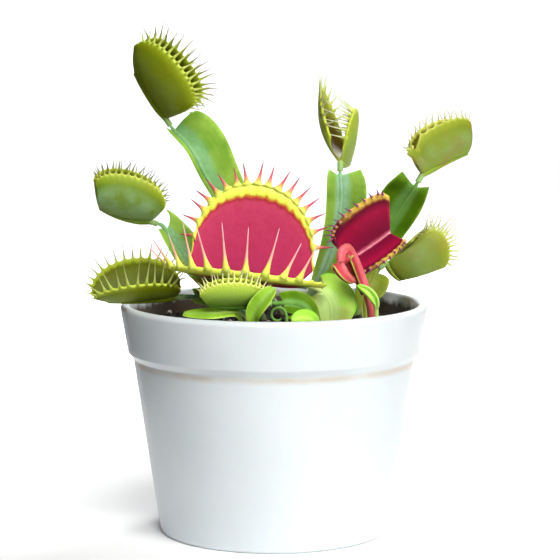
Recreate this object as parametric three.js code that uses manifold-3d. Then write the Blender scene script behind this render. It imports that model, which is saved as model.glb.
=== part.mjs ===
// A potted Venus flytrap: a tapered white plastic pot, the peat in it, and the plant's leaves.
// Each leaf is a flat winged stalk (the petiole) with a hinged two-lobed trap at its end.
// Millimetres, +Z up. The origin is the centre of the pot's base, and -Y is the front.

import * as THREE from 'three';
import Module from 'manifold-3d';
import { mergeVertices } from 'three/addons/utils/BufferGeometryUtils.js';

const wasm = await Module();
wasm.setup();

// Driving dimensions of the pot
const POT_HEIGHT = 67;
const RIM_RADIUS = 45;
const BASE_RADIUS = 33.4;
const COLLAR_HEIGHT = 15.7;
const COLLAR_FOOT_RADIUS = 42.6;
const BODY_TOP_RADIUS = 41.1;
const COLLAR_CHAMFER = 1.8;
const LIP_ROUND = 1.4;
const RIM_INNER_RADIUS = 42.2;
const WALL = 1.6;
const FLOOR = 2;
const POT_SIDES = 40;
const DRAIN_RADIUS = 3;
const DRAIN_CIRCLE = 20;
const DRAIN_COUNT = 4;

// Driving dimensions of the peat
const SOIL_TOP = 61;
const SOIL_CLEARANCE = 0.4;
const SOIL_EDGE_DROP = 1.2;
const SOIL_LUMP = 0.45;
const SOIL_SIDES = 24;
const ROOT_DEPTH = 8;
const HOLE_CLEARANCE = 0.75;

// Driving dimensions that all leaves share
const BLADE = 0.8;
const BLADE_LIFT = 1.6;
const NECK_RADIUS = 1;
const NECK_STUB = 1.6;
const NECK_DROP = 0.5;
const NECK_GAP = 0.35;
const NECK_RUN = 1.6;
const NECK_SINK = 2;
const LOBE_STEPS = 3;
const NOTCH_PLACE = 0.2;
const NOTCH_WIDTH = 0.045;
const TOOTH_SWAY = 0.24;
const TOOTH_VARY = 0.24;
const STEM_SIDES = 6;

const COLOUR = {
  pot: 0xf1f3f4,
  soil: 0x2a221c,
  petiole: 0x7fb04a,
  limePetiole: 0xaede6a,
  darkPetiole: 0x4b7f22,
  olive: 0x7c8a2c,
  greenTrap: 0x6f7f1e,
  redTrap: 0xbb3558,
  maroonTrap: 0x8e1b3c,
  youngRed: 0xd4565e,
  youngLime: 0xb6cf4e,
};

// Small helpers

// A repeatable random number from 0 to 1 for item k of the leaf with this seed.
function chance(seed, k) {
  const x = Math.sin(k * 12.9898 + seed * 78.233) * 43758.5453;
  return x - Math.floor(x);
}

function smoothstep(from, to, x) {
  const t = Math.min(Math.max((x - from) / (to - from), 0), 1);
  return t * t * (3 - 2 * t);
}

function vec(list) {
  return new THREE.Vector3(...list);
}

// A closed three.js geometry as a solid that can be joined and cut.
function solid(geometry) {
  const bare = new THREE.BufferGeometry();
  bare.setAttribute('position', geometry.getAttribute('position'));
  bare.setIndex(geometry.getIndex());
  const merged = mergeVertices(bare, 1e-4);
  const index = merged.getIndex().array;
  const kept = [];
  for (let i = 0; i < index.length; i += 3) {
    const [a, b, c] = [index[i], index[i + 1], index[i + 2]];
    if (a !== b && b !== c && c !== a) kept.push(a, b, c);
  }
  return new wasm.Manifold(new wasm.Mesh({
    numProp: 3,
    vertProperties: new Float32Array(merged.getAttribute('position').array),
    triVerts: new Uint32Array(kept),
  }));
}

// Joins solids into one body and drops any loose scrap.
function fuse(pieces) {
  let body = pieces[0];
  for (const piece of pieces.slice(1)) body = body.add(piece);
  const bodies = body.decompose().sort((a, b) => b.volume() - a.volume());
  return bodies[0];
}

function mesh(name, body, colour, roughness) {
  const { vertProperties, triVerts } = body.getMesh();
  const geometry = new THREE.BufferGeometry();
  geometry.setAttribute('position', new THREE.BufferAttribute(new Float32Array(vertProperties), 3));
  geometry.setIndex(new THREE.BufferAttribute(new Uint32Array(triVerts), 1));
  const material = new THREE.MeshStandardMaterial({ color: colour, roughness, metalness: 0 });
  const made = new THREE.Mesh(geometry, material);
  made.name = name;
  return made;
}

// A thick sheet: the middle surface point(u, q), u from 0 to 1 and q from -1 to 1, with a face
// half a thickness to each side of it, split into triangles alike, and a strip round the edge.
// Where spike(q, segment) gives a point, that segment of the long edge is drawn out to it.
function sheet(point, stepsU, stepsQ, thickness, spike = () => null) {
  const grid = new THREE.PlaneGeometry(1, 1, stepsU, stepsQ);
  const uv = grid.getAttribute('uv');
  const count = uv.count;
  const positions = [];
  const under = [];
  const du = 0.25 / stepsU;
  const dq = 0.5 / stepsQ;
  for (let i = 0; i < count; i += 1) {
    const u = uv.getX(i);
    const q = uv.getY(i) * 2 - 1;
    const middle = point(u, q);
    const alongU = point(Math.min(u + du, 1), q).sub(point(Math.max(u - du, 0), q));
    const alongQ = point(u, Math.min(q + dq, 1)).sub(point(u, Math.max(q - dq, -1)));
    const out = alongU.cross(alongQ).normalize().multiplyScalar(thickness / 2);
    positions.push(...middle.clone().add(out).toArray());
    under.push(...middle.clone().sub(out).toArray());
  }
  positions.push(...under);
  const top = Array.from(grid.getIndex().array);
  const index = [...top];
  for (let i = 0; i < top.length; i += 3) {
    index.push(top[i] + count, top[i + 2] + count, top[i + 1] + count);
  }
  const columns = stepsU + 1;
  const last = stepsQ * columns;
  const strip = (a, b, tip) => {
    if (!tip) {
      index.push(a, a + count, b + count, a, b + count, b);
      return;
    }
    const apex = positions.length / 3;
    positions.push(...tip.toArray());
    index.push(a, a + count, apex, a + count, b + count, apex, b + count, b, apex, b, a, apex);
  };
  for (let i = 0; i < stepsU; i += 1) {
    strip(last + i, last + i + 1, spike(-1, i));
    strip(i + 1, i, spike(1, i));
  }
  for (let j = 0; j < stepsQ; j += 1) {
    strip((j + 1) * columns + stepsU, j * columns + stepsU, null);
    strip(j * columns, (j + 1) * columns, null);
  }
  const geometry = new THREE.BufferGeometry();
  geometry.setAttribute('position', new THREE.Float32BufferAttribute(positions, 3));
  geometry.setIndex(index);
  return solid(geometry);
}

// Lays a cylinder or cone, standing on +Y from 0 to height, along a path: the ring at fraction h
// moves to path(h), turned to face along it, and keeps its own radius times scale(h).
function layAlong(geometry, height, path, facing, scale = () => 1) {
  const position = geometry.getAttribute('position');
  const step = 0.01;
  for (let i = 0; i < position.count; i += 1) {
    const h = position.getY(i) / height;
    const here = path(h);
    const ahead = path(h + step).sub(path(h - step)).normalize();
    const side = ahead.clone().cross(facing).normalize();
    const front = side.clone().cross(ahead);
    here.addScaledVector(side, position.getX(i) * scale(h));
    here.addScaledVector(front, position.getZ(i) * scale(h));
    position.setXYZ(i, here.x, here.y, here.z);
  }
  return solid(geometry);
}

// The pot: a turned wall with a plain collar and a rounded lip, and drain holes off its centre

function makePot() {
  const innerFloorRadius = BASE_RADIUS - WALL;
  const innerNeckRadius = BODY_TOP_RADIUS - WALL;
  const collarFoot = POT_HEIGHT - COLLAR_HEIGHT;
  const profile = [
    [0, 0],
    [BASE_RADIUS, 0],
    [BODY_TOP_RADIUS, collarFoot],
    [COLLAR_FOOT_RADIUS, collarFoot + COLLAR_CHAMFER],
    [RIM_RADIUS, POT_HEIGHT - LIP_ROUND],
    [RIM_RADIUS - LIP_ROUND * 0.3, POT_HEIGHT - LIP_ROUND * 0.3],
    [RIM_RADIUS - LIP_ROUND, POT_HEIGHT],
    [RIM_INNER_RADIUS, POT_HEIGHT - LIP_ROUND * 0.7],
    [innerNeckRadius, collarFoot - 1],
    [innerFloorRadius, FLOOR],
    [0, FLOOR],
  ];
  const wall = new THREE.LatheGeometry(profile.map((p) => new THREE.Vector2(...p)), POT_SIDES);
  wall.rotateX(Math.PI / 2);
  let body = solid(wall);
  for (let k = 0; k < DRAIN_COUNT; k += 1) {
    const angle = ((k + 0.5) * 2 * Math.PI) / DRAIN_COUNT;
    const drain = new THREE.CylinderGeometry(DRAIN_RADIUS, DRAIN_RADIUS, FLOOR * 3, 16);
    drain.rotateX(Math.PI / 2);
    drain.translate(DRAIN_CIRCLE * Math.cos(angle), DRAIN_CIRCLE * Math.sin(angle), FLOOR / 2);
    body = body.subtract(solid(drain));
  }
  return body;
}

// The wall's inner radius at a height, as the pot's profile draws it.
function innerRadius(z) {
  const collarFoot = POT_HEIGHT - COLLAR_HEIGHT;
  const neck = BODY_TOP_RADIUS - WALL;
  const bend = collarFoot - 1;
  const lipFoot = POT_HEIGHT - LIP_ROUND * 0.7;
  if (z > bend) return neck + ((RIM_INNER_RADIUS - neck) * (z - bend)) / (lipFoot - bend);
  return BASE_RADIUS - WALL + ((neck - BASE_RADIUS + WALL) * (z - FLOOR)) / (bend - FLOOR);
}

// The peat: it fills the pot to just under the rim, crowned and a little lumpy on top, and every
// stalk stands in a plain hole in it.

function makeSoil(stalks) {
  const bottom = FLOOR + SOIL_CLEARANCE;
  const bend = POT_HEIGHT - COLLAR_HEIGHT - 1;
  const edge = SOIL_TOP - SOIL_EDGE_DROP;
  const fit = SOIL_CLEARANCE + 0.1;
  const rings = [0.85, 0.65, 0.45, 0.25];
  const edgeRadius = innerRadius(edge) - fit;
  const profile = [
    [0, bottom],
    [innerRadius(bottom) - fit, bottom],
    [innerRadius(bend) - fit, bend],
    [edgeRadius, edge],
    ...rings.map((f) => [edgeRadius * f, SOIL_TOP - SOIL_EDGE_DROP * f * f]),
    [0, SOIL_TOP],
  ];
  const lump = new THREE.LatheGeometry(profile.map((p) => new THREE.Vector2(...p)), SOIL_SIDES);
  lump.rotateX(Math.PI / 2);
  const position = lump.getAttribute('position');
  for (let i = 0; i < position.count; i += 1) {
    const x = position.getX(i);
    const y = position.getY(i);
    if (position.getZ(i) > edge + 0.1) {
      const wave = Math.sin(x * 0.35 + 1) * Math.cos(y * 0.4) + 0.6 * Math.sin(x * 0.8 - y * 0.6);
      position.setZ(i, position.getZ(i) + SOIL_LUMP * wave);
    }
  }
  let body = solid(lump);
  for (const stalk of stalks) body = body.subtract(stem(stalk, HOLE_CLEARANCE));
  return body;
}

// Traps

// One lobe's outline and bend. The margin of a lobe is half an ellipse standing on a short side
// edge at each end of the midrib; a0 and a1 are the angles from the opening axis, in degrees, at
// which the lobe leaves the midrib and ends at its margin. The teeth start at the share first,
// and notch is the depth of a tear near the stalk.
const LOBE = {
  overBase: 2, overTip: 2, hBase: 3, hTip: 5, dome: 9, full: 0.85, a0: 60, a1: -20, flare: 0,
  tooth: 5, lean: 0, first: 0, notch: 0,
};

// How far a lobe has gone out and up at fraction v of its width, for a width of 1.
function lobeArc(lobe, v) {
  const steps = 24;
  let out = 0;
  let up = 0;
  for (let k = 0; k < steps; k += 1) {
    const t = ((k + 0.5) / steps) * v;
    const degrees = lobe.a0 + (lobe.a1 - lobe.a0) * t + lobe.flare * smoothstep(0.8, 1, t);
    out += (Math.sin(THREE.MathUtils.degToRad(degrees)) * v) / steps;
    up += (Math.cos(THREE.MathUtils.degToRad(degrees)) * v) / steps;
  }
  return [out, up];
}

class Trap {
  constructor(spec) {
    this.base = vec(spec.base);
    const tip = vec(spec.tip);
    this.length = this.base.distanceTo(tip);
    this.x = tip.sub(this.base).normalize();
    this.z = vec(spec.up);
    this.z.addScaledVector(this.x, -this.z.dot(this.x)).normalize();
    this.y = this.z.clone().cross(this.x);
    this.stub = spec.neck ? vec(spec.neck).normalize() : this.x.clone().negate();
    this.sag = spec.sag ?? 0.8;
    this.seed = spec.seed;
    this.teeth = spec.teeth ?? 11;
    this.lobes = {
      left: { ...LOBE, ...spec.both, ...spec.left },
      right: { ...LOBE, ...spec.both, ...spec.right },
    };
  }

  // From the trap's own axes (midrib, across, opening) to the part's.
  place(x, y, z) {
    return this.base.clone()
      .addScaledVector(this.x, x).addScaledVector(this.y, y).addScaledVector(this.z, z);
  }

  // A point of the lobe on this side (1 left, -1 right): u runs from the stalk to the tip, v from
  // the midrib to the margin.
  lobePoint(side, u, v) {
    const lobe = side > 0 ? this.lobes.left : this.lobes.right;
    const turn = Math.PI * u;
    const over = lobe.overBase * (1 - u) + lobe.overTip * u;
    const marginX = this.length / 2 - (this.length / 2 + over) * Math.cos(turn);
    const width = lobe.hBase * (1 - u) + lobe.hTip * u
      + lobe.dome * Math.max(Math.sin(turn), 0) ** lobe.full;
    const torn = lobe.notch * Math.exp(-(((u - NOTCH_PLACE) / NOTCH_WIDTH) ** 2));
    const x = this.length * u + (marginX - this.length * u) * v;
    const [out, up] = lobeArc(lobe, v);
    const reach = width * (1 - torn);
    return this.place(x, side * out * reach, up * reach - this.sag * 4 * u * (1 - u));
  }

  // The neck's point at this distance from the hinge's end towards the stalk.
  neck(distance) {
    return this.place(0, 0, -NECK_DROP).addScaledVector(this.stub, distance);
  }

  // The neck's end, sunk into the foot of the hinge.
  stubRod() {
    const height = 1;
    const rod = new THREE.CylinderGeometry(1, 1, height, STEM_SIDES, 3);
    rod.translate(0, height / 2, 0);
    const reach = NECK_STUB + NECK_SINK;
    const path = (h) => {
      const x = h * reach - NECK_STUB;
      return x < 0 ? this.neck(-x) : this.place(x, 0, -NECK_DROP);
    };
    return layAlong(rod, height, path, this.y, () => NECK_RADIUS);
  }

  // The tip of the tooth on this segment of a lobe's margin: each second segment has one.
  toothTip(side, segment) {
    if (segment % 2 === 0) return null;
    const lobe = side > 0 ? this.lobes.left : this.lobes.right;
    const segments = this.teeth * 2 + 1;
    const u = (segment + 0.5) / segments;
    if (u < lobe.first) return null;
    const edge = this.lobePoint(side, (segment + 1) / segments, 1)
      .sub(this.lobePoint(side, segment / segments, 1)).normalize();
    const at = this.lobePoint(side, u, 1);
    const outward = at.clone().sub(this.lobePoint(side, u, 0.95));
    outward.addScaledVector(edge, -outward.dot(edge)).normalize();
    const inward = edge.clone().cross(outward).multiplyScalar(side);
    const lean = THREE.MathUtils.degToRad(lobe.lean);
    const sway = (chance(this.seed + 7, segment + side) - 0.5) * TOOTH_SWAY;
    const along = outward.clone().multiplyScalar(Math.cos(lean))
      .addScaledVector(inward, Math.sin(lean)).addScaledVector(edge, sway).normalize();
    const vary = 1 + TOOTH_VARY * (chance(this.seed + 3, segment + side) - 0.5);
    const length = lobe.tooth * (0.62 + 0.38 * Math.sin(Math.PI * u)) * vary;
    return at.addScaledVector(along, length);
  }

  body() {
    const lobes = sheet(
      (u, q) => this.lobePoint(q < 0 ? -1 : 1, u, Math.abs(q)),
      this.teeth * 2 + 1, LOBE_STEPS * 2, BLADE,
      (side, segment) => this.toothTip(side, segment),
    );
    return fuse([lobes, this.stubRod()]);
  }
}

// Stalks

// A stalk's blade starts and stops at fractions of its length and is widest at peak.
const STALK = {
  start: 0.2, stop: 0.9, low: 1.2, left: 4, right: 4, peakLeft: null, peak: 0.75,
  roundLeft: null, round: 0.7, shoulder: 0.5, fold: 8, wave: 0, waves: 2.5,
  foot: 1.5, top: NECK_RADIUS, face0: [0, -1, 0.2], face1: [0, -1, 0.2], stepsT: 9, stepsQ: 2,
};

class Stalk {
  constructor(spec, trap) {
    Object.assign(this, STALK, spec);
    const [x, y] = spec.root;
    const points = [
      [x, y, SOIL_TOP - ROOT_DEPTH],
      [x, y, SOIL_TOP - ROOT_DEPTH * 0.4],
      [x, y, SOIL_TOP + 0.5],
      ...spec.through,
    ].map(vec);
    if (trap) {
      const joint = NECK_STUB + NECK_GAP;
      points.push(trap.neck(joint + NECK_RUN), trap.neck(joint));
    }
    this.curve = new THREE.CatmullRomCurve3(points, false, 'centripetal');
    this.curve.arcLengthDivisions = 400;
    this.length = this.curve.getLength();
    this.face0 = vec(this.face0);
    this.face1 = vec(this.face1);
    this.start = Math.max(this.start, (ROOT_DEPTH + BLADE_LIFT) / this.length);
  }

  facing(h) {
    return this.face0.clone().lerp(this.face1, Math.min(Math.max(h, 0), 1)).normalize();
  }

  // A point at fraction h of the length, straight on past either end.
  spine(h) {
    const inside = Math.min(Math.max(h, 0), 1);
    const point = this.curve.getPointAt(inside);
    if (h === inside) return point;
    return point.addScaledVector(this.curve.getTangentAt(inside), (h - inside) * this.length);
  }

  // Half of the blade's width at t: it grows from the foot to its peak and rounds off above it.
  halfWidth(widest, peak, round, t) {
    const grown = this.low + (widest - this.low) * smoothstep(0, peak, t) ** 0.8;
    const above = Math.min(Math.max((t - peak) / (1 - peak), 0), 1);
    return grown * (1 - (1 - round) * above ** 2.2);
  }

  // A point of the blade: t from foot to top, q from -1 to 1 across it.
  bladePoint(t, q) {
    const left = this.halfWidth(this.left, this.peakLeft ?? this.peak, this.roundLeft ?? this.round, t);
    const right = this.halfWidth(this.right, this.peak, this.round, t);
    const across = q * (q < 0 ? left : right);
    const ahead = this.shoulder * smoothstep(0.55, 1, t) * Math.abs(q) ** 1.3;
    const h = this.start + (this.stop - this.start) * t + ahead / this.length;
    const tangent = this.curve.getTangentAt(Math.min(Math.max(h, 0), 1));
    const side = tangent.clone().cross(this.facing(h)).normalize();
    const out = side.clone().cross(tangent).normalize();
    const fold = THREE.MathUtils.degToRad(this.fold);
    const phase = q < 0 ? 0 : 1.7;
    const wave = this.wave * q * q * Math.sin(2 * Math.PI * this.waves * t + phase);
    return this.spine(h)
      .addScaledVector(side, across * Math.cos(fold))
      .addScaledVector(out, Math.abs(across) * Math.sin(fold) + wave);
  }

  body() {
    const stalk = stem(this, 0);
    if (this.bare) return stalk;
    const blade = sheet((t, q) => this.bladePoint(t, q), this.stepsT, this.stepsQ, BLADE);
    return fuse([stalk, blade]);
  }
}

// The round stem of a stalk, or with a clearance the hole that it stands in.
function stem(stalk, clearance) {
  const height = 1;
  const steps = Math.max(6, Math.round(stalk.length / 6));
  const rod = new THREE.CylinderGeometry(1, 1, height, STEM_SIDES, steps);
  rod.translate(0, height / 2, 0);
  const radius = (h) => stalk.foot + (stalk.top - stalk.foot) * h + clearance;
  const reach = clearance / stalk.length;
  const middle = stalk.facing(0.5);
  return layAlong(rod, height, (h) => stalk.spine(h * (1 + reach) - reach), middle, radius);
}

// The leaves, each with its trap's hinge ends, the way it opens, and its stalk's route

const LEAVES = {
  tall_left: {
    colours: [COLOUR.greenTrap, COLOUR.petiole],
    trap: {
      base: [-31.3, 8, 120.4], tip: [-40.6, 8, 134.1], up: [0.75, -0.3, 0.5], seed: 1,
      both: { hBase: 6, hTip: 5.5, overBase: 1.2, overTip: 6.2,
        dome: 11.5, full: 0.55, a0: 56, a1: -30, tooth: 6.5, lean: -8 },
    },
    stalk: {
      root: [3, 8], start: 0.2, stop: 0.97, low: 2, left: 1.8, right: 10.4, peakLeft: 0.5,
      roundLeft: 0.8, peak: 0.86, round: 0.7, shoulder: 2,
      face0: [0, -1, 0.1], face1: [0.2, -1, 0.1], fold: 12, wave: 0.5, stepsT: 12,
      through: [[-3.5, 7, 71.2], [-14.1, 8, 93.3], [-20, 8, 103.3], [-24.6, 8, 111.6]],
    },
  },
  mid_left: {
    colours: [COLOUR.greenTrap, COLOUR.petiole],
    trap: {
      base: [-36.3, 5, 90.6], tip: [-51, 1, 95], up: [0.28, -0.16, 0.94], seed: 2, sag: 1.3,
      both: { hBase: 5.4, hTip: 8.2, overBase: 2.6, overTip: 3.6,
        dome: 9, a0: 60, a1: -40, tooth: 3.8, lean: -5 },
    },
    stalk: {
      root: [-3, 2], start: 0.25, stop: 0.93, low: 2.6, left: 3.4, right: 6, peakLeft: 0.6,
      roundLeft: 0.5, peak: 0.75, round: 0.8, shoulder: 2.5, face0: [0, -1, 0.3],
      face1: [0.3, -1, 0.3], fold: 12,
      wave: 0.3, through: [[-4.4, 1.8, 64], [-14.3, 0, 69.4], [-24.6, 3, 78.5], [-30, 6, 85.2]],
    },
  },
  low_left: {
    colours: [COLOUR.greenTrap, COLOUR.petiole],
    trap: {
      base: [-28.1, -8.3, 69.9], tip: [-47.9, -14.3, 69.2], up: [0, -0.42, 0.9], seed: 3, sag: 0.6,
      both: { hBase: 2.5, hTip: 2.5, overBase: 1.8, overTip: 4.5,
        dome: 10.5, a0: 62, a1: 12, tooth: 4.5, lean: -6 },
      left: { overBase: 0.4, dome: 7.8, a1: -5, tooth: 9, lean: -6, first: 0.34 },
    },
    stalk: {
      root: [-7, -6], start: 0.29, stop: 0.88, left: 3, right: 3.5, peak: 0.7, shoulder: 1.2,
      face0: [0, -0.7, 0.7], face1: [0, -0.7, 0.7], fold: 10, through: [[-8, -6.1, 64], [-13.6, -7, 67.6]],
    },
  },
  center: {
    colours: [COLOUR.redTrap, COLOUR.limePetiole],
    trap: {
      base: [7.2, -9.5, 73.4], tip: [-22.7, -6.5, 76.6], up: [0, -0.6, 0.8], teeth: 13, seed: 4, sag: 1,
      both: { hBase: 4.5, hTip: 4, overBase: 4, overTip: 2, dome: 24.5, full: 0.75, a0: 44, a1: 34,
        flare: 20, tooth: 5.6, lean: 0 },
      left: { hBase: 5, dome: 15.5, overBase: 8.5, overTip: 8, a0: 50, a1: 38, flare: -75,
        tooth: 11.5, lean: 10, first: 0.22 },
    },
    stalk: {
      root: [16.5, -12.5], start: 0.12, stop: 0.79, low: 5, left: 13.5, right: 8,
      peakLeft: 0.36,
      roundLeft: 0.3, peak: 0.5, round: 0.5, shoulder: 2.5, face0: [0, -1, 0.3],
      face1: [0, -1, 0.45], fold: 6, wave: 0.15, waves: 1.2,
      through: [[16.2, -12.5, 67], [14.2, -11.5, 71]],
    },
  },
  under: {
    colours: [COLOUR.greenTrap, COLOUR.darkPetiole],
    trap: {
      base: [-2.9, -32, 71.1], tip: [-18.4, -32, 70.6], up: [0, -0.12, 0.99], seed: 5,
      both: { hBase: 1.8, hTip: 3, overBase: 1.5, overTip: 2,
        dome: 6.5, a0: 62, a1: -25, tooth: 3.2, lean: 10 },
    },
    stalk: {
      root: [13, -22], start: 0.2, stop: 0.86, left: 3.6, right: 4, peak: 0.6, shoulder: 1.2,
      face0: [0, -1, 0.5], face1: [0, -1, 0.5], fold: 6,
      through: [[8.2, -25.5, 68.8]],
    },
  },
  tall_right: {
    colours: [COLOUR.greenTrap, COLOUR.petiole],
    trap: {
      base: [19.3, 4, 108], tip: [22.6, 15.8, 107], up: [-0.1, 0, 1],
      neck: [0, -0.1, -1], seed: 6,
      both: { hBase: 5, hTip: 7, overBase: 0.3, overTip: 2, dome: 15, tooth: 8.5 },
      left: { dome: 17, a0: 46, a1: -20, lean: -14, tooth: 9, hBase: 8, overBase: 1.5 },
      right: { dome: 12.5, hBase: 4, hTip: 5, overTip: 0, a0: 30, a1: 0, lean: 44 },
    },
    stalk: {
      root: [9, 8], start: 0.14, stop: 0.97, left: 4.3, right: 7.6, peak: 0.86, round: 0.8,
      shoulder: 1.6, face0: [0, -1, 0.1], face1: [0, -1, 0.1], fold: 12, wave: 0.4, stepsT: 12,
      through: [[12.4, 6, 71.3], [16.5, 6, 81.7], [18.8, 6, 90], [19.6, 4.8, 98]],
    },
  },
  maroon: {
    colours: [COLOUR.maroonTrap, COLOUR.darkPetiole],
    trap: {
      base: [21.4, -4.3, 79.3], tip: [33.5, -7.3, 88], up: [-0.12, -0.95, 0.32], seed: 7,
      both: { hBase: 5, hTip: 6.5, overBase: 1, overTip: 3.5,
        dome: 2.5, a0: 66, a1: 52, tooth: 2.4, lean: 20 },
      left: { hBase: 4.5, hTip: 9.5, overBase: -0.6, overTip: 6.5, dome: 6, full: 0.6, a1: 44,
        tooth: 3 },
    },
    stalk: {
      root: [17, -4], start: 0.15, stop: 0.8, left: 2.5, right: 2.5, shoulder: 1,
      face0: [0, -1, 0.3], face1: [0, -1, 0.3], through: [[16.9, -3.6, 70.5]],
    },
  },
  upper_right: {
    colours: [COLOUR.greenTrap, COLOUR.darkPetiole],
    trap: {
      base: [43.2, 6, 104.2], tip: [57.9, 17, 110], up: [-0.25, -0.1, 0.95],
      neck: [-0.5, 0, -0.86], seed: 8, sag: -0.2,
      both: { hBase: 8.5, hTip: 9, overBase: 1.5, overTip: 2,
        dome: 4.6, a0: 50, a1: -30, tooth: 3.4, lean: -5 },
      left: { overBase: 0 },
      right: { overBase: 4.5, notch: 0.4 },
    },
    stalk: {
      root: [25, 13], start: 0.2, stop: 0.965, left: 7.4, right: 5.6, peak: 0.75, round: 0.65,
      peakLeft: 0.8, roundLeft: 0.75, shoulder: 2, face0: [0, -1, 0.1], face1: [0, -1, 0.1],
      wave: 0.3, stepsT: 11,
      through: [[28.9, 14.5, 75.7], [33.7, 14, 86.8], [38.4, 10.4, 95.2]],
    },
  },
  lower_right: {
    colours: [COLOUR.greenTrap, COLOUR.olive],
    trap: {
      base: [33.4, 4, 78.4], tip: [37.6, 4.6, 73], up: [0.72, 0.2, 0.68],
      neck: [-0.8, 0, -0.6], seed: 9, sag: 0.6,
      both: { hBase: 11, hTip: 13.5, overBase: -0.6, overTip: 5,
        dome: 8, a0: 50, a1: -30, tooth: 9, lean: -4 },
    },
    stalk: {
      root: [27, -2], start: 0.2, stop: 0.9, left: 4, right: 5, peak: 0.7, round: 0.6,
      shoulder: 1, fold: 6, through: [[26.8, -1.5, 69], [28.6, 0, 73]],
    },
  },
};

// Points of a bud that curls in on itself in a plane that faces the front.
function curl([x, y, z], radius, turns) {
  const steps = Math.round(turns * 8);
  return Array.from({ length: steps }, (_, k) => {
    const angle = (2 * Math.PI * turns * k) / steps;
    const r = radius * (1 - (0.45 * k) / steps);
    return [x + r * Math.cos(angle), y, z + r * Math.sin(angle)];
  });
}

// Leaves that have no open trap yet, or none that shows, each in one piece.
const SMALL_LEAVES = {
  leaf_young_red: {
    colour: COLOUR.youngRed, root: [28.2, -14.2], start: 0.4, stop: 0.99, low: 1.8,
    left: 3.8, right: 3.8, peak: 0.45, round: 0.3, shoulder: 0, fold: 66, foot: 2.2, top: 1.7,
    face0: [-1, -0.3, 0.4], face1: [0.4, -0.2, -1],
    through: [[27.6, -15, 67.5], [26.2, -16, 72.5], [24.5, -16.7, 77.7], [22.7, -17.4, 82.1],
      [20.7, -18.4, 85], [18.9, -19.8, 83.6], [18.9, -20.9, 80.6], [20.6, -21.5, 77.4],
      [23, -21.6, 75.2]],
  },
  leaf_lime_bud: {
    colour: COLOUR.youngLime, root: [28.8, -22.8], start: 0.62, stop: 1, low: 0.8, left: 2,
    right: 2, peak: 0.5, round: 0.3, shoulder: 0, fold: 60, foot: 0.9, top: 1.4,
    face0: [0, -1, 0.2], face1: [-0.2, -1, 0.2],
    through: [[28.9, -23.4, 66.5], [28.6, -24.2, 70], [26.6, -25.2, 73], [23.4, -25.4, 75]],
  },
  leaf_curled: {
    colour: COLOUR.petiole, root: [-5, -35], start: 0.35, stop: 1, low: 1, left: 3.2, right: 3.6,
    peak: 0.6, round: 0.5, shoulder: -0.6, fold: 38, face0: [-0.3, -1, 0.2],
    face1: [-0.3, -1, 0.4], through: [[-5.2, -36, 68], [-2.6, -36.5, 72], [0.4, -36, 75.5]],
  },
  leaf_flat_left: {
    colour: COLOUR.petiole, root: [-9, -27], start: 0.3, stop: 1, left: 2.6, right: 2.6,
    peak: 0.6, round: 0.35, shoulder: 0, fold: 6, face0: [0, -0.5, 0.85], face1: [0, -0.5, 0.85],
    through: [[-10.4, -30, 67.5], [-17.1, -31, 67.6], [-25.2, -29, 67.3]],
  },
  leaf_small_front: {
    colour: COLOUR.youngLime, root: [12, -31], start: 0.5, stop: 1, left: 3, right: 3, peak: 0.5,
    round: 0.3, shoulder: 0, face0: [0, -1, 0.5], face1: [0, -1, 0.5],
    through: [[10.5, -32.5, 65.5], [7.4, -34.5, 66.6], [5, -35.5, 66]],
  },
  leaf_coil: {
    colour: COLOUR.darkPetiole, root: [3.5, -34.8], bare: true, foot: 0.8, top: 0.5,
    through: curl([1.2, -34.8, 67.8], 2.3, 1),
  },
};

// The object

const group = new THREE.Group();
const stalks = [];

for (const [name, leaf] of Object.entries(LEAVES)) {
  const trap = new Trap(leaf.trap);
  const stalk = new Stalk(leaf.stalk, trap);
  stalks.push(stalk);
  group.add(mesh(`trap_${name}`, trap.body(), leaf.colours[0], 0.5));
  group.add(mesh(`stalk_${name}`, stalk.body(), leaf.colours[1], 0.55));
}

for (const [name, leaf] of Object.entries(SMALL_LEAVES)) {
  const stalk = new Stalk(leaf);
  stalks.push(stalk);
  group.add(mesh(name, stalk.body(), leaf.colour, 0.55));
}

group.add(mesh('pot', makePot(), COLOUR.pot, 0.4));
group.add(mesh('soil', makeSoil(stalks), COLOUR.soil, 0.95));

export default group;
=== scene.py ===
# %% [markdown]
# # A potted Venus flytrap
#
# A plant in a small white nursery pot, built from surfaces that numpy works out. The measured
# solids of the pot, the peat and each leaf are loaded first, and every piece here stands exactly
# where its solid is. Lengths are written in millimetres and become metres when a mesh is made.

# %% Load the measured solids
import math

import bpy
import numpy as np
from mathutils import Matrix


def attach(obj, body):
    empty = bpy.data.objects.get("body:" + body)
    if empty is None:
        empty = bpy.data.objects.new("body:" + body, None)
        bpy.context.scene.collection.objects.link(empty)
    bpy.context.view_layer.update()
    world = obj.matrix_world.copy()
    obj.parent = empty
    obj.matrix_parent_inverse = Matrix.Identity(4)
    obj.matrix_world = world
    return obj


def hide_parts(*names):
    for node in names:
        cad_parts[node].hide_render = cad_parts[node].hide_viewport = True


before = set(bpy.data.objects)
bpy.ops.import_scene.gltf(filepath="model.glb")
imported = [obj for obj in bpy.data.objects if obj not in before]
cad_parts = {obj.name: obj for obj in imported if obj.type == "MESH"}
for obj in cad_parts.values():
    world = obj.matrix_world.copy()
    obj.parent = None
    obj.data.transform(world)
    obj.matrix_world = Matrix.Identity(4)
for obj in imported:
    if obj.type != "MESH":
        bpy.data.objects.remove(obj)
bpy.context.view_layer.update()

# %% [markdown]
# ## Small tools
#
# A colour is written as the hex value that a screen shows, and Blender wants linear light, so one
# function turns it. Materials are built from nodes, and one function adds a node, gives it its
# settings and links, and returns the output that is read. A mesh is made from shells: arrays of
# points, of faces and of named numbers on the points, which the materials read.

# %% Colours and nodes
MM = 0.001
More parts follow.
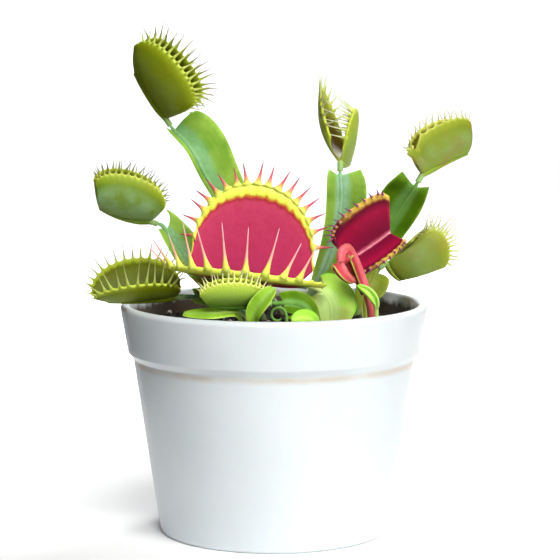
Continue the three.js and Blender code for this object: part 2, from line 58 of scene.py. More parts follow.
# What the word after a node's kind sets, and the output that is read where it isn't the first.
WORD_SETS = {"Math": "operation", "Mix": "blend_type", "Attribute": "attribute_name"}
READS = {"Mix": 2, "Attribute": "Fac", "TexCoord": "Object"}


def linear(code):
    """sRGB hex to linear RGB: c / 12.92 below 0.04045, else ((c + 0.055) / 1.055) ** 2.4."""
    screen = np.array([int(code[i:i + 2], 16) for i in (1, 3, 5)]) / 255
    light = np.where(screen <= 0.04045, screen / 12.92, ((screen + 0.055) / 1.055) ** 2.4)
    return (*light.tolist(), 1.0)


def per(millimetres):
    """The scale of a texture with lumps about this many millimetres across: 1 over that in m."""
    return 1 / (millimetres * MM)


def add(tree, kind, word=None, stops=None, out=None, **sockets):
    """Adds a shader node, sets it up and returns one of its outputs.

    A socket is given by its name with _ for a space, or by i and its number, and takes a number,
    a hex colour or another node's output. A Mix node's sockets 0, 6 and 7 are its share and its
    two colours. stops gives the hex colours of a colour ramp by their places.
    """
    made = tree.nodes.new("ShaderNode" + kind)
    if kind == "Mix":
        made.data_type = "RGBA"
    if word:
        setattr(made, WORD_SETS[kind], word)
    for k, (place, code) in enumerate((stops or {}).items()):
        ramp = made.color_ramp.elements
        stop = ramp[k] if k < len(ramp) else ramp.new(place)
        stop.position = place
        stop.color = linear(code)
    for key, value in sockets.items():
        socket = made.inputs[int(key[1:]) if key[1:].isdigit() else key.replace("_", " ")]
        if isinstance(value, bpy.types.NodeSocket):
            tree.links.new(value, socket)
        else:
            socket.default_value = linear(value) if isinstance(value, str) else value
    if len(made.outputs) > 0:
        return made.outputs[READS.get(kind, 0) if out is None else out]


def start_material(name):
    """An empty material, its tree and the place of a point on it."""
    made = bpy.data.materials.new(name)
    made.use_nodes = True
    made.node_tree.nodes.clear()
    return made, made.node_tree, add(made.node_tree, "TexCoord")


def end_material(tree, **shader):
    """Puts a Principled shader with these sockets on the material's surface."""
    add(tree, "OutputMaterial", Surface=add(tree, "BsdfPrincipled", **shader))


# %% Arithmetic on arrays
def unit(vectors):
    """Each vector over its own length."""
    return vectors / np.maximum(np.linalg.norm(vectors, axis=-1, keepdims=True), 1e-9)


def smoothstep(low, high, x):
    """3t^2 - 2t^3 with t going from 0 at low to 1 at high."""
    t = np.clip((x - low) / (high - low), 0, 1)
    return t * t * (3 - 2 * t)


def chance(seed, k):
    """A repeatable number from 0 to 1: the fraction of sin(12.9898 k + 78.233 seed) 43758.5453."""
    return np.sin(np.asarray(k, float) * 12.9898 + seed * 78.233) * 43758.5453 % 1


# %% Grids, shells and sheets
def cells(rows, columns):
    """The four corners of each cell of a grid of points, turning from rows to columns."""
    corner = np.arange(rows * columns).reshape(rows, columns)
    ring = corner[:-1, :-1], corner[1:, :-1], corner[1:, 1:], corner[:-1, 1:]
    return np.stack(ring, -1).reshape(-1, 4)


def shell(points, faces, **layers):
    """A part of a mesh: points in mm, a list of face arrays, and numbers on the points."""
    return {"points": points.reshape(-1, 3), "faces": faces,
            "layers": {k: np.broadcast_to(v, (points.size // 3,)) for k, v in layers.items()}}


def sheet(middle, thickness, **layers):
    """A closed thick sheet round a middle surface.

    The faces are middle + normal * thickness / 2 and middle - normal * thickness / 2, where the
    normal is the cross product of the two slopes, and a strip of quads closes the edge. The
    layer called inside is 1 on the first face and 0 on the other.
    """
    normal = unit(np.cross(np.gradient(middle, axis=0), np.gradient(middle, axis=1)))
    offset = normal * np.broadcast_to(thickness, middle.shape[:2])[..., None] / 2
    rows, columns = middle.shape[:2]
    count = rows * columns
    corner = np.arange(count).reshape(rows, columns)
    ring = np.concatenate([corner[:-1, 0], corner[-1, :-1], corner[:0:-1, -1], corner[0, :0:-1]])
    after = np.roll(ring, -1)
    face = cells(rows, columns)
    strip = np.stack([ring, ring + count, after + count, after], -1)
    points = np.concatenate([(middle + offset).reshape(-1, 3), (middle - offset).reshape(-1, 3)])
    doubled = {k: np.tile(np.broadcast_to(v, (rows, columns)).ravel(), 2) for k, v in layers.items()}
    inside = np.repeat([1.0, 0.0], count)
    return shell(points, [face, face[:, ::-1] + count, strip], inside=inside, **doubled)


# %% Rods, and a piece from its shells
TIP_LENGTH = 0.02


def tube_faces(rings, sides, count=1):
    """Faces of closed tubes whose points are rings from the foot to the head, then two poles.

    Quads join each ring to the next one, and a fan of triangles joins an end to its pole.
    """
    ring = np.arange(sides)
    after = (ring + 1) % sides
    row = np.arange(rings - 1)[:, None] * sides
    last = (rings - 1) * sides
    wall = np.stack([row + ring, row + after, row + sides + after, row + sides + ring], -1)
    foot = np.stack([np.full(sides, rings * sides), after, ring], -1)
    head = np.stack([np.full(sides, rings * sides + 1), last + ring, last + after], -1)
    shift = (np.arange(count) * (rings * sides + 2))[:, None, None]
    return [(group + shift).reshape(-1, group.shape[1])
            for group in (wall.reshape(-1, 4), foot, head)]


def rods(paths, side, radius, flat, sides, **layers):
    """A bundle of tapering rods, each closed by a cap at its root and a point at its tip.

    A ring is path + radius (cos a side + flat sin a front), where front is the path's direction
    crossed with side. paths is rods x rings x 3, and radius and the layers are rods x rings.
    """
    count, rings = paths.shape[:2]
    ahead = unit(np.gradient(paths, axis=1))
    side = np.broadcast_to(side, paths.shape)
    side = unit(side - np.sum(side * ahead, -1, keepdims=True) * ahead)
    front = np.cross(ahead, side)
    angle = np.arange(sides) * 2 * np.pi / sides
    turned = (np.cos(angle)[:, None] * side[:, :, None]
              + flat * np.sin(angle)[:, None] * front[:, :, None])
    around = paths[:, :, None] + np.broadcast_to(radius, (count, rings))[..., None, None] * turned
    ends = np.stack([paths[:, 0], paths[:, -1] + ahead[:, -1] * TIP_LENGTH], 1)
    points = np.concatenate([around.reshape(count, -1, 3), ends], 1)
    on_points = {}
    for key, value in layers.items():
        value = np.broadcast_to(value, (count, rings))
        rows = [np.repeat(value, sides, axis=1), value[:, :1], value[:, -1:]]
        on_points[key] = np.concatenate(rows, 1).ravel()
    return shell(points, tube_faces(rings, sides, count), **on_points)


def piece(name, shells, material, replaces=None, stage=False):
    """Joins shells into one mesh object in metres, with their layers as attributes."""
    points = np.concatenate([s["points"] for s in shells]) * MM
    starts = np.cumsum([0] + [len(s["points"]) for s in shells[:-1]])
    faces = []
    for start, s in zip(starts, shells):
        for group in s["faces"]:
            faces += (group + start).tolist()
    mesh = bpy.data.meshes.new(name)
    mesh.from_pydata(points.tolist(), [], faces)
    mesh.polygons.foreach_set("use_smooth", np.ones(len(mesh.polygons), bool))
    for key in sorted({k for s in shells for k in s["layers"]}):
        values = np.concatenate([s["layers"].get(key, np.zeros(len(s["points"]))) for s in shells])
        attribute = mesh.attributes.new(key, "FLOAT", "POINT")
        attribute.data.foreach_set("value", values.astype(np.float32))
    mesh.materials.append(material)
    made = bpy.data.objects.new(name, mesh)
    bpy.context.collection.objects.link(made)
    if stage:
        return made
    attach(made, "root")
    if replaces:
        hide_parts(replaces)
    print(name, len(mesh.polygons), "faces")
    return made


# %% [markdown]
# ## Camera and light
#
# The photo is taken from a little above the rim, 60 cm away, with a long lens. A white pot shows
# its roundness only where the light comes from one side, so a big soft lamp stands at the front
# right, the fill is weak and a black card at the left, which the camera doesn't see, keeps light
# off that side. Two lamps whiten the paper behind and under the plant, and one shines through the
# thin leaves from the back right.

# %% Camera
CAMERA_PLACE = (1.78, -600.0, 142.8)
CAMERA_PITCH = 0.115
CAMERA_LENS = 133.07

lens = bpy.data.cameras.new("camera")
lens.lens = CAMERA_LENS
lens.clip_start = 0.01
camera = bpy.data.objects.new("camera", lens)
camera.location = [c * MM for c in CAMERA_PLACE]
camera.rotation_euler = (math.pi / 2 - CAMERA_PITCH, 0, 0)
bpy.context.collection.objects.link(camera)
bpy.context.scene.camera = camera
bpy.context.scene.view_settings.view_transform = "Standard"

# %% Sky and lamps
world = bpy.data.worlds.new("tent")
bpy.context.scene.world = world
world.use_nodes = True
background = world.node_tree.nodes["Background"]
background.inputs["Color"].default_value = linear("#f2f6ff")
background.inputs["Strength"].default_value = 0.04


def lamp(name, place, target, size, watts, colour, spread=180):
    """A square soft lamp that looks from place to target, in mm, with a grid that narrows it."""
    data = bpy.data.lights.new(name, "AREA")
    data.shape = "SQUARE"
    data.size = size * MM
    data.energy = watts
    data.spread = math.radians(spread)
    data.color = linear(colour)[:3]
    made = bpy.data.objects.new(name, data)
    made.location = [c * MM for c in place]
    towards = np.subtract(target, place)
    flat = math.hypot(towards[0], towards[1])
    made.rotation_euler = (math.atan2(flat, -towards[2]), 0, math.atan2(-towards[0], towards[1]))
    bpy.context.collection.objects.link(made)


lamp("key", (520, -600, 500), (0, 0, 60), 360, 0.85, "#fffdf8", 70)
lamp("backdrop", (0, 420, 900), (0, 1300, 500), 500, 6.5, "#ffffff", 100)
lamp("paper", (0, 480, 900), (0, 480, 0), 300, 2.0, "#ffffff", 50)
lamp("edge", (330, 520, 480), (0, 0, 100), 300, 0.45, "#ffffff", 60)
lamp("top", (20, -380, 640), (0, -5, 95), 260, 0.24, "#ffffff", 40)
lamp("fill", (130, -560, 150), (0, -10, 90), 220, 0.045, "#ffffff", 36)

# %% Black card at the left
CARD_X = -128.0
CARD_ROWS, CARD_COLUMNS = 7, 9
card_run = np.linspace(-260, 200, CARD_COLUMNS)[None]
card_climb = np.linspace(4, 150, CARD_ROWS)[:, None]

black_felt, tree, place = start_material("black_felt")
nap = add(tree, "TexNoise", Vector=place, Scale=per(30), Detail=3)
end_material(tree, Base_Color=add(tree, "Mix", i0=nap, i6="#0c0c0c", i7="#181818"), Roughness=1.0)
card_grid = np.stack(np.broadcast_arrays(CARD_X, card_run, card_climb), -1)
card_shell = shell(card_grid, [cells(CARD_ROWS, CARD_COLUMNS)])
card = piece("black_flag", [card_shell], black_felt, stage=True)
card.visible_camera = False

# %% Paper floor that curves up behind
PAPER_ROWS, PAPER_COLUMNS = 60, 12
PAPER_BEND = 700.0
PAPER_CURVE = 500.0
run = np.linspace(-900, 1300, PAPER_ROWS)[:, None]
climb = np.where(run > PAPER_BEND, (run - PAPER_BEND) ** 2 / PAPER_CURVE, 0)
across = np.linspace(-1500, 1500, PAPER_COLUMNS)[None]

studio_paper, tree, place = start_material("pale_studio_paper")
pulp = add(tree, "TexNoise", Vector=place, Scale=per(60), Detail=3)
end_material(tree, Base_Color=add(tree, "Mix", i0=pulp, i6="#fbfbfb", i7="#ffffff"), Roughness=0.9)
paper_grid = np.stack(np.broadcast_arrays(across, run, climb), -1)
paper_shell = shell(paper_grid, [cells(PAPER_ROWS, PAPER_COLUMNS)[:, ::-1]])
piece("studio_floor", [paper_shell], studio_paper, stage=True)
print("six lamps, a black card at the left and a floor that curves up behind")

# %% [markdown]
# ## The pot
#
# The real pot is injection-moulded polypropylene: a thin tapered wall, a deeper collar at the top
# that stiffens the rim, and a rolled lip. It could be a lathe of straight lines with a bevel. Here
# the profile's corners are rounded by arcs first, so that each corner has its own radius, and the
# profile is then turned round the axis.

# %% Pot shape
POT_HEIGHT = 67.0
RIM_RADIUS = 45.0
RIM_INNER = 42.2
BASE_RADIUS = 33.4
NECK_RADIUS = 41.1
COLLAR_FOOT = POT_HEIGHT - 15.7
COLLAR_FOOT_RADIUS = 42.6
COLLAR_CHAMFER = 1.8
WALL = 1.6
FLOOR = 2.0
POT_SIDES = 160
DRAIN_COUNT = 4
DRAIN_CIRCLE = 20.0
DRAIN_RADIUS = 3.0
DRAIN_SIDES = 24


def fillet(corners, steps=7):
    """Rounds a profile: each (r, z, radius) corner becomes an arc that touches both of its edges."""
    corners = np.array(corners, float)
    places, radii = corners[:, :2], corners[:, 2]
    rounded = [places[:1]]
    for before, here, after, radius in zip(places, places[1:], places[2:], radii[1:]):
        back, on = unit(before - here), unit(after - here)
        half = 0.5 * math.acos(np.clip(back @ on, -1, 1))
        reach = radius / math.tan(half)
        centre = here + unit(back + on) * radius / math.sin(half)
        first, last = here + back * reach - centre, here + on * reach - centre
        share = np.linspace(0, 1, steps)[:, None]
        arc = unit(first * (1 - share) + last * share) * radius
        rounded.append(centre + arc)
    return np.concatenate(rounded + [places[-1:]])


def lathe(profile, sides):
    """Turns an (r, z) profile that starts and ends on the axis: x = r cos a, y = r sin a."""
    angle = np.arange(sides) * 2 * np.pi / sides
    radius, height = profile[1:-1, 0][:, None], profile[1:-1, 1][:, None]
    around = np.stack(np.broadcast_arrays(radius * np.cos(angle), radius * np.sin(angle), height), -1)
    poles = [[0, 0, profile[0, 1]], [0, 0, profile[-1, 1]]]
    return shell(np.concatenate([around.reshape(-1, 3), poles]), tube_faces(len(radius), sides))


pot_corners = [
    (0, 0, 0), (BASE_RADIUS, 0, 1.2), (NECK_RADIUS, COLLAR_FOOT, 0.7),
    (COLLAR_FOOT_RADIUS, COLLAR_FOOT + COLLAR_CHAMFER, 1.2), (RIM_RADIUS, POT_HEIGHT, 1.35),
    (RIM_INNER, POT_HEIGHT, 0.9), (NECK_RADIUS - WALL, COLLAR_FOOT - 1, 3),
    (BASE_RADIUS - WALL, FLOOR, 2), (0, FLOOR, 0),
]
profile = fillet(pot_corners)
print("pot profile:", len(profile), "points")

# %% [markdown]
# ## Moulded polypropylene
#
# The plastic is white and a little glossy, with the faint orange-peel of its mould. Just under the
# collar a brownish band of painted shadow is drawn by height, and wet peat has left streaks of dirt
# on the wall inside the rim, drawn by height and by radius; both are broken up by noise.

# %% Pot material
# Heights of the painted shadow band under the collar, and where the dirt inside the rim fades out.
COLLAR_SHADOW_FOOT = 49.4, 50.8
COLLAR_SHADOW_TOP = 51.2, 52.2
DIRT_FADE = 60.5, 66.3

pot_plastic, tree, place = start_material("moulded_white_polypropylene")
noise = {size: add(tree, "TexNoise", Vector=place, Scale=per(size), Detail=detail)
         for size, detail in ((2.2, 2), (9, 3), (12, 2), (14, 2), (25, 4))}
height = add(tree, "SeparateXYZ", out="Z", Vector=place)
plain = add(tree, "Mix", i0=noise[25], i6="#d2dade", i7="#e0e6e9")

# Painted shadow: a brownish band just under the collar, its height wobbled and broken into patches by
# noise.
wobble = add(tree, "Math", "MULTIPLY_ADD", i0=noise[14], i1=1.2 * MM, i2=height)
above = add(tree, "MapRange", Value=wobble, From_Min=COLLAR_SHADOW_FOOT[0] * MM,
            From_Max=COLLAR_SHADOW_FOOT[1] * MM)
below = add(tree, "MapRange", Value=wobble, From_Min=COLLAR_SHADOW_TOP[0] * MM,
            From_Max=COLLAR_SHADOW_TOP[1] * MM, To_Min=1, To_Max=0)
patches = add(tree, "MapRange", Value=noise[9], From_Min=0.38, From_Max=0.6, To_Min=0.3, To_Max=0.62)
line = add(tree, "Math", "MULTIPLY", i0=above, i1=below)
collar_shadow = add(tree, "Math", "MULTIPLY", i0=line, i1=patches)
with_collar_shadow = add(tree, "Mix", i0=collar_shadow, i6=plain, i7="#c6b49c")

within = add(tree, "MapRange", Value=add(tree, "Attribute", "cavity"), From_Min=0.4, From_Max=0.6)
near_soil = add(tree, "MapRange", Value=height, From_Min=DIRT_FADE[0] * MM,
                From_Max=DIRT_FADE[1] * MM, To_Min=1, To_Max=0)
upright = add(tree, "Mapping", Vector=place, Scale=(1, 1, 0.7))
streaks = add(tree, "TexNoise", Vector=upright, Scale=per(4.5), Detail=5, Roughness=0.7)
splashed = add(tree, "Math", "ADD", i0=near_soil, i1=streaks)
dirt = add(tree, "Math", "MULTIPLY", i0=within,
           i1=add(tree, "MapRange", Value=splashed, From_Min=0.66, From_Max=0.98))
coloured = add(tree, "Mix", i0=dirt, i6=with_collar_shadow, i7="#4a3d33")

ripple = add(tree, "Bump", Height=noise[2.2], Distance=0.05 * MM)
moulded = add(tree, "Bump", Height=noise[12], Distance=0.25 * MM, Normal=ripple)
end_material(tree, Base_Color=coloured, Normal=moulded, Roughness=0.38, IOR=1.49,
             Subsurface_Weight=0.12, Subsurface_Scale=0.004, Coat_Weight=0.15, Coat_Roughness=0.25)
print("pot material:", len(tree.nodes), "nodes")

# %% Turn the pot and drill its drain holes
SHARP_ANGLE = 50.0
DRILL_FOOT, DRILL_TOP = -4.0, 6.0

pot_shell = lathe(profile, POT_SIDES)
reach = np.hypot(pot_shell["points"][:, 0], pot_shell["points"][:, 1])
outer = np.interp(pot_shell["points"][:, 2],
                  [0, COLLAR_FOOT, COLLAR_FOOT + COLLAR_CHAMFER, POT_HEIGHT],
                  [BASE_RADIUS, NECK_RADIUS, COLLAR_FOOT_RADIUS, RIM_RADIUS])
pot_shell["layers"]["cavity"] = smoothstep(0.9, 1.5, outer - reach)
pot = piece("nursery_pot", [pot_shell], pot_plastic, "pot")
pot.data.set_sharp_from_angle(angle=math.radians(SHARP_ANGLE))

drill_profile = np.array([[0, DRILL_FOOT], [DRAIN_RADIUS, DRILL_FOOT], [DRAIN_RADIUS, DRILL_TOP],
                          [0, DRILL_TOP]])
drills = []
for k in range(DRAIN_COUNT):
    turn = (k + 0.5) * 2 * math.pi / DRAIN_COUNT
    drill = lathe(drill_profile, DRAIN_SIDES)
    drill["points"] += [DRAIN_CIRCLE * math.cos(turn), DRAIN_CIRCLE * math.sin(turn), 0]
    drills.append(drill)
cutter = piece("drill", drills, pot_plastic, stage=True)
cut = pot.modifiers.new("drain_holes", "BOOLEAN")
cut.object = cutter
cut.solver = "EXACT"
with bpy.context.temp_override(object=pot, active_object=pot, selected_objects=[pot]):
    bpy.ops.object.modifier_apply(modifier=cut.name)
bpy.data.objects.remove(cutter)
print("pot with drain holes:", len(pot.data.polygons), "faces")

# %% [markdown]
# ## The peat
#
# Carnivorous plants grow in dark sphagnum peat with some perlite. The surface is a disc of rings
# whose height is a sum of waves in many directions, which looks like noise but is a formula. Loose
# crumbs and white perlite grains lie on it: each is a ball of a few dozen faces with its own
# stretch and turn, and all of them are made at once as arrays.

# %% Peat surface
SOIL_TOP = 61.0
SOIL_DROP = 1.2
SOIL_RADIUS = 41.0
SOIL_EDGE = 60.0
PEAT_SIDES = 220
PEAT_RINGS = 110
SKIRT_GAP, TOP_GAP = 0.4, 0.25


def lumps(x, y, size, seed, waves=14):
    """A sum of sines in random directions, about size mm across, from about -1 to 1."""
    k = np.arange(waves)
    turn = chance(seed, k) * 2 * np.pi
    pitch = 2 * np.pi / (size * (0.6 + 0.9 * chance(seed + 1, k)))
    shift = chance(seed + 2, k) * 2 * np.pi
    run = x[..., None] * np.cos(turn) + y[..., None] * np.sin(turn)
    return np.sum(np.sin(run * pitch + shift), -1) / math.sqrt(waves) / 1.4


def inner_radius(z):
    """The pot wall's inner radius at a height."""
    return np.interp(z, [FLOOR, COLLAR_FOOT - 1, POT_HEIGHT],
                     [BASE_RADIUS - WALL, NECK_RADIUS - WALL, RIM_INNER])


def soil_height(x, y):
    """The peat's height: a low crown, broad lumps and small crumbs."""
    r = np.hypot(x, y) / SOIL_RADIUS
    return (SOIL_TOP - SOIL_DROP * r ** 2 + 0.45 * lumps(x, y, 14, 3)
            + 0.3 * lumps(x, y, 4.5, 7) + 0.16 * lumps(x, y, 1.8, 11))


angle = np.arange(PEAT_SIDES) * 2 * np.pi / PEAT_SIDES
skirt = np.array([FLOOR + 0.5, 20.0, 40.0, 55.0])[:, None]
top = np.linspace(1, 0.004, PEAT_RINGS)[:, None] * (inner_radius(SOIL_EDGE) - TOP_GAP)
radius = np.concatenate([inner_radius(skirt) - SKIRT_GAP, top])
x, y = radius * np.cos(angle), radius * np.sin(angle)
z = soil_height(x, y)
z[:len(skirt)] = skirt
poles = [[0, 0, skirt[0, 0]], [0, 0, z[-1, 0]]]
peat_points = np.concatenate([np.stack([x, y, z], -1).reshape(-1, 3), poles])
peat_shell = shell(peat_points, tube_faces(len(radius), PEAT_SIDES))
print("peat surface:", len(peat_points), "points")

# %% Crumbs and perlite
BALL_RINGS, BALL_SIDES = 4, 7
CRUMBS, PERLITE, FIBRES = 2200, 46, 260


def balls(centres, sizes, seed, roughness=0.3):
    """Irregular grains: balls of rings, their points pushed in or out, stretched and spun."""
    count = len(centres)
    climb = np.linspace(0, np.pi, BALL_RINGS + 2)[1:-1][:, None]
    turn = np.arange(BALL_SIDES) * 2 * np.pi / BALL_SIDES
    ball = np.stack(np.broadcast_arrays(np.sin(climb) * np.cos(turn), np.sin(climb) * np.sin(turn),
                                        -np.cos(climb)), -1).reshape(-1, 3)
    ball = np.concatenate([ball, [[0, 0, -1], [0, 0, 1]]])
    k = np.arange(count * len(ball)).reshape(count, -1)
    push = 1 + roughness * (chance(seed, k) - 0.5) * 2
    stretch = 0.65 + 0.7 * chance(seed + 1, np.arange(count * 3).reshape(count, 1, 3))
    spin = chance(seed + 2, np.arange(count))[:, None] * 2 * np.pi
    x, y, z = np.moveaxis(ball * push[..., None] * stretch * sizes[:, None, None], -1, 0)
    turned = np.stack([x * np.cos(spin) - z * np.sin(spin), y, x * np.sin(spin) + z * np.cos(spin)], -1)
    return shell(turned + centres[:, None], tube_faces(BALL_RINGS, BALL_SIDES, count))


def scattered(count, seed, reach=40.0):
    """Places on the peat: r = reach sqrt(chance), a = 2 pi chance."""
    k = np.arange(count)
    r = reach * np.sqrt(chance(seed, k))
    a = 2 * np.pi * chance(seed + 5, k)
    spots = np.stack([r * np.cos(a), r * np.sin(a)], -1)
    return np.concatenate([spots, soil_height(spots[:, 0], spots[:, 1])[:, None]], 1)


crumb_sizes = 0.25 + 0.9 * chance(22, np.arange(CRUMBS)) ** 2.5
crumbs = balls(scattered(CRUMBS, 21), crumb_sizes, 23, 0.35)
perlite_sizes = 0.35 + 0.55 * chance(32, np.arange(PERLITE)) ** 2
perlite = balls(scattered(PERLITE, 31) + [0, 0, 0.25], perlite_sizes, 33)

# Fibres are thin rods that lie on the crumbs and rise and fall by a sine.
k = np.arange(FIBRES)
lean = chance(42, k) * 2 * np.pi
along = np.stack([np.cos(lean), np.sin(lean), 0.25 * (chance(43, k) - 0.3)], -1)
reach = np.linspace(-1, 1, 5)[:, None] * (1.2 + 3 * chance(44, k))[:, None, None]
fibre_paths = scattered(FIBRES, 41, 39.0)[:, None] + [0, 0, 0.35] + reach * along[:, None]
fibre_paths[..., 2] += 0.25 * np.sin(reach[..., 0] * 1.7)
fibres = rods(fibre_paths, np.array([0, 0, 1.0]), 0.14, 1.0, 5)
print("crumbs, perlite and fibres:", CRUMBS, PERLITE, FIBRES)

# %% Peat materials
peat, tree, place = start_material("damp_sphagnum_peat")
mould = add(tree, "TexNoise", Vector=place, Scale=per(2.4), Detail=6, Roughness=0.7)
tone = add(tree, "ValToRGB", stops={0.3: "#0f0b09", 0.5: "#241a14", 0.7: "#46352a"}, Fac=mould)
crumbly = add(tree, "TexNoise", Vector=place, Scale=per(0.8), Detail=4, Roughness=0.7)
end_material(tree, Base_Color=tone, Roughness=0.85,
             Normal=add(tree, "Bump", Height=crumbly, Distance=0.35 * MM))

popped_perlite, tree, place = start_material("perlite")
dusty = add(tree, "TexNoise", Vector=place, Scale=per(0.9), Detail=3)
porous = add(tree, "TexNoise", Vector=place, Scale=per(0.35), Detail=3)
end_material(tree, Base_Color=add(tree, "Mix", i0=dusty, i6="#c9c3b8", i7="#f2efe8"), Roughness=0.75,
             Normal=add(tree, "Bump", Height=porous, Distance=0.12 * MM))

piece("peat", [peat_shell, crumbs, fibres], peat, "soil")
piece("perlite_grains", [perlite], popped_perlite)

# %% [markdown]
# ## How a trap is shaped
#
# A trap is a leaf that is hinged along its midrib into two lobes with a row of teeth on each
# margin. A lobe could be sculpted, but a formula keeps all nine alike and lets each close by its
# own amount. u runs along the hinge and v from the hinge to the margin. The outline is half an
# ellipse, and across it the lobe bends from the angle a0 at the hinge to a1 at the margin.

# %% Frames along a trap and a stalk
NECK_STUB = 1.6
NECK_DROP = 0.5
NECK_GAP = 0.35
NECK_RUN = 1.6
ROOT_DEPTH = 8.0
BLADE_LIFT = 1.6

NOTCH_PLACE, NOTCH_WIDTH = 0.2, 0.045
BEND_STEPS = 240
CURVE_STEPS = 600
SAG = 0.8
RIM_START = 0.93
EDGE_STEP = 0.004
TOOTH_SUNK = 1.1
LEAN_SPREAD = 14.0
RIB_SHARE = 0.65
BUD_START = 0.62
CAP_START = 0.9

LOBE = dict(hBase=3.0, hTip=5.0, overBase=2.0, overTip=2.0, dome=9.0, full=0.85, a0=60.0, a1=-20.0,
            flare=0.0, notch=0.0, first=0.03, last=0.97, teeth=14, tooth=5.0, even=0.55, lean=0.0,
            curl=0.0, comb=0.0, root=0.42, scallop=0.5)
STALK = dict(start=0.2, stop=0.9, low=1.2, left=4.0, right=4.0, peak=0.75, round=0.7, shoulder=0.5,
             fold=8.0, wave=0.0, waves=2.5, foot=1.5, top=1.0, face0=(0, -1, 0.2), thick=0.55, bud=0.0)


def trap_axes(trap):
    """The hinge's foot, the axes (along, across, opening), its length and the neck's direction."""
    base, tip, up = (np.array(trap[k], float) for k in ("base", "tip", "up"))
    length = np.linalg.norm(tip - base)
    along = unit(tip - base)
    opening = unit(up - (up @ along) * along)
    axes = np.stack([along, np.cross(opening, along), opening])
    neck = unit(np.array(trap["neck"], float)) if "neck" in trap else -along
    return base, axes, length, neck


def neck_point(trap, distance):
    """The neck's point at this distance from the hinge's end towards the stalk."""
    base, axes, _, neck = trap_axes(trap)
    return base - NECK_DROP * axes[2] + neck * distance


def lobe_place(trap, lobe, side, u, v):
    """The lobe's middle surface.

    The margin's place along the hinge is L/2 - (L/2 + over) cos(pi u) and the lobe's width there
    is h + dome sin(pi u)^full, less a bell-shaped notch where a lobe is torn. Across, the
    direction angle a(v) = a0 + (a1 - a0) v, with flare added near the margin, is summed up to
    out = integral of sin a and up = integral of cos a. Between two teeth the margin dips by
    scallop.
    """
    base, axes, length, _ = trap_axes(trap)
    turn = np.pi * u
    over = lobe["overBase"] * (1 - u) + lobe["overTip"] * u
    margin = length / 2 - (length / 2 + over) * np.cos(turn)
    width = (lobe["hBase"] * (1 - u) + lobe["hTip"] * u
             + lobe["dome"] * np.maximum(np.sin(turn), 0) ** lobe["full"])
    width = width * (1 - lobe["notch"] * np.exp(-((u - NOTCH_PLACE) / NOTCH_WIDTH) ** 2))
    phase = lobe["teeth"] * (u - lobe["first"]) / (lobe["last"] - lobe["first"])
    dip = lobe["scallop"] * (0.5 + 0.5 * np.cos(2 * np.pi * phase)) ** 0.6
    v = v - dip / width * smoothstep(0.72, 1, v)
    t = (np.arange(BEND_STEPS) + 0.5) / BEND_STEPS
    bend = lobe["a0"] + (lobe["a1"] - lobe["a0"]) * t + lobe["flare"] * smoothstep(0.8, 1, t)
    bend = np.radians(bend)
    grid = np.linspace(0, 1, BEND_STEPS + 1)
    out = np.interp(v, grid, np.concatenate([[0], np.cumsum(np.sin(bend))]) / BEND_STEPS)
    up = np.interp(v, grid, np.concatenate([[0], np.cumsum(np.cos(bend))]) / BEND_STEPS)
    along = length * u + (margin - length * u) * v
    sag = trap.get("sag", SAG) * 4 * u * (1 - u)
    local = np.stack(np.broadcast_arrays(along, side * out * width, up * width - sag), -1)
    return base + local @ axes


def curve(points, share):
    """A centripetal Catmull-Rom curve through the points, read at shares of its own length.

    Between two points it is the cubic whose slopes follow from the gaps between the points, each
    gap being the square root of the distance.
    """
    points = np.asarray(points, float)
    ends = np.concatenate([[2 * points[0] - points[1]], points, [2 * points[-1] - points[-2]]])
    x = np.linspace(0, 1, CURVE_STEPS) * (len(points) - 1)
    i = np.minimum(x.astype(int), len(points) - 2)
    f = (x - i)[:, None]
    a, b, c, d = ends[i], ends[i + 1], ends[i + 2], ends[i + 3]

    def gap(p, q):
        return np.sqrt(np.linalg.norm(q - p, axis=1, keepdims=True)).clip(1e-4)

    ab, bc, cd = gap(a, b), gap(b, c), gap(c, d)
    slope0 = ((b - a) / ab - (c - a) / (ab + bc) + (c - b) / bc) * bc
    slope1 = ((c - b) / bc - (d - b) / (bc + cd) + (d - c) / cd) * bc
    line = (b + slope0 * f + (3 * (c - b) - 2 * slope0 - slope1) * f ** 2
            + (2 * (b - c) + slope0 + slope1) * f ** 3)
    run = np.concatenate([[0], np.cumsum(np.linalg.norm(np.diff(line, axis=0), axis=1))])
    tangent = unit(np.gradient(line, run, axis=0))
    share = np.asarray(share, float)
    want = np.clip(share, 0, 1) * run[-1]
    place = np.stack([np.interp(want, run, line[:, k]) for k in range(3)], -1)
    ahead = unit(np.stack([np.interp(want, run, tangent[:, k]) for k in range(3)], -1))
    return place + ahead * (share * run[-1] - want)[..., None], ahead, run[-1]


# %% [markdown]
# ## Making a trap
#
# The two lobes are one sheet, thick at the hinge, thin in the field and swollen at the rim, where
# the teeth stand. A tooth is a flattened rod with a broad root that runs out into the rim and a
# long thin tip that bends. The hinge has a rib under it that goes on as the neck.

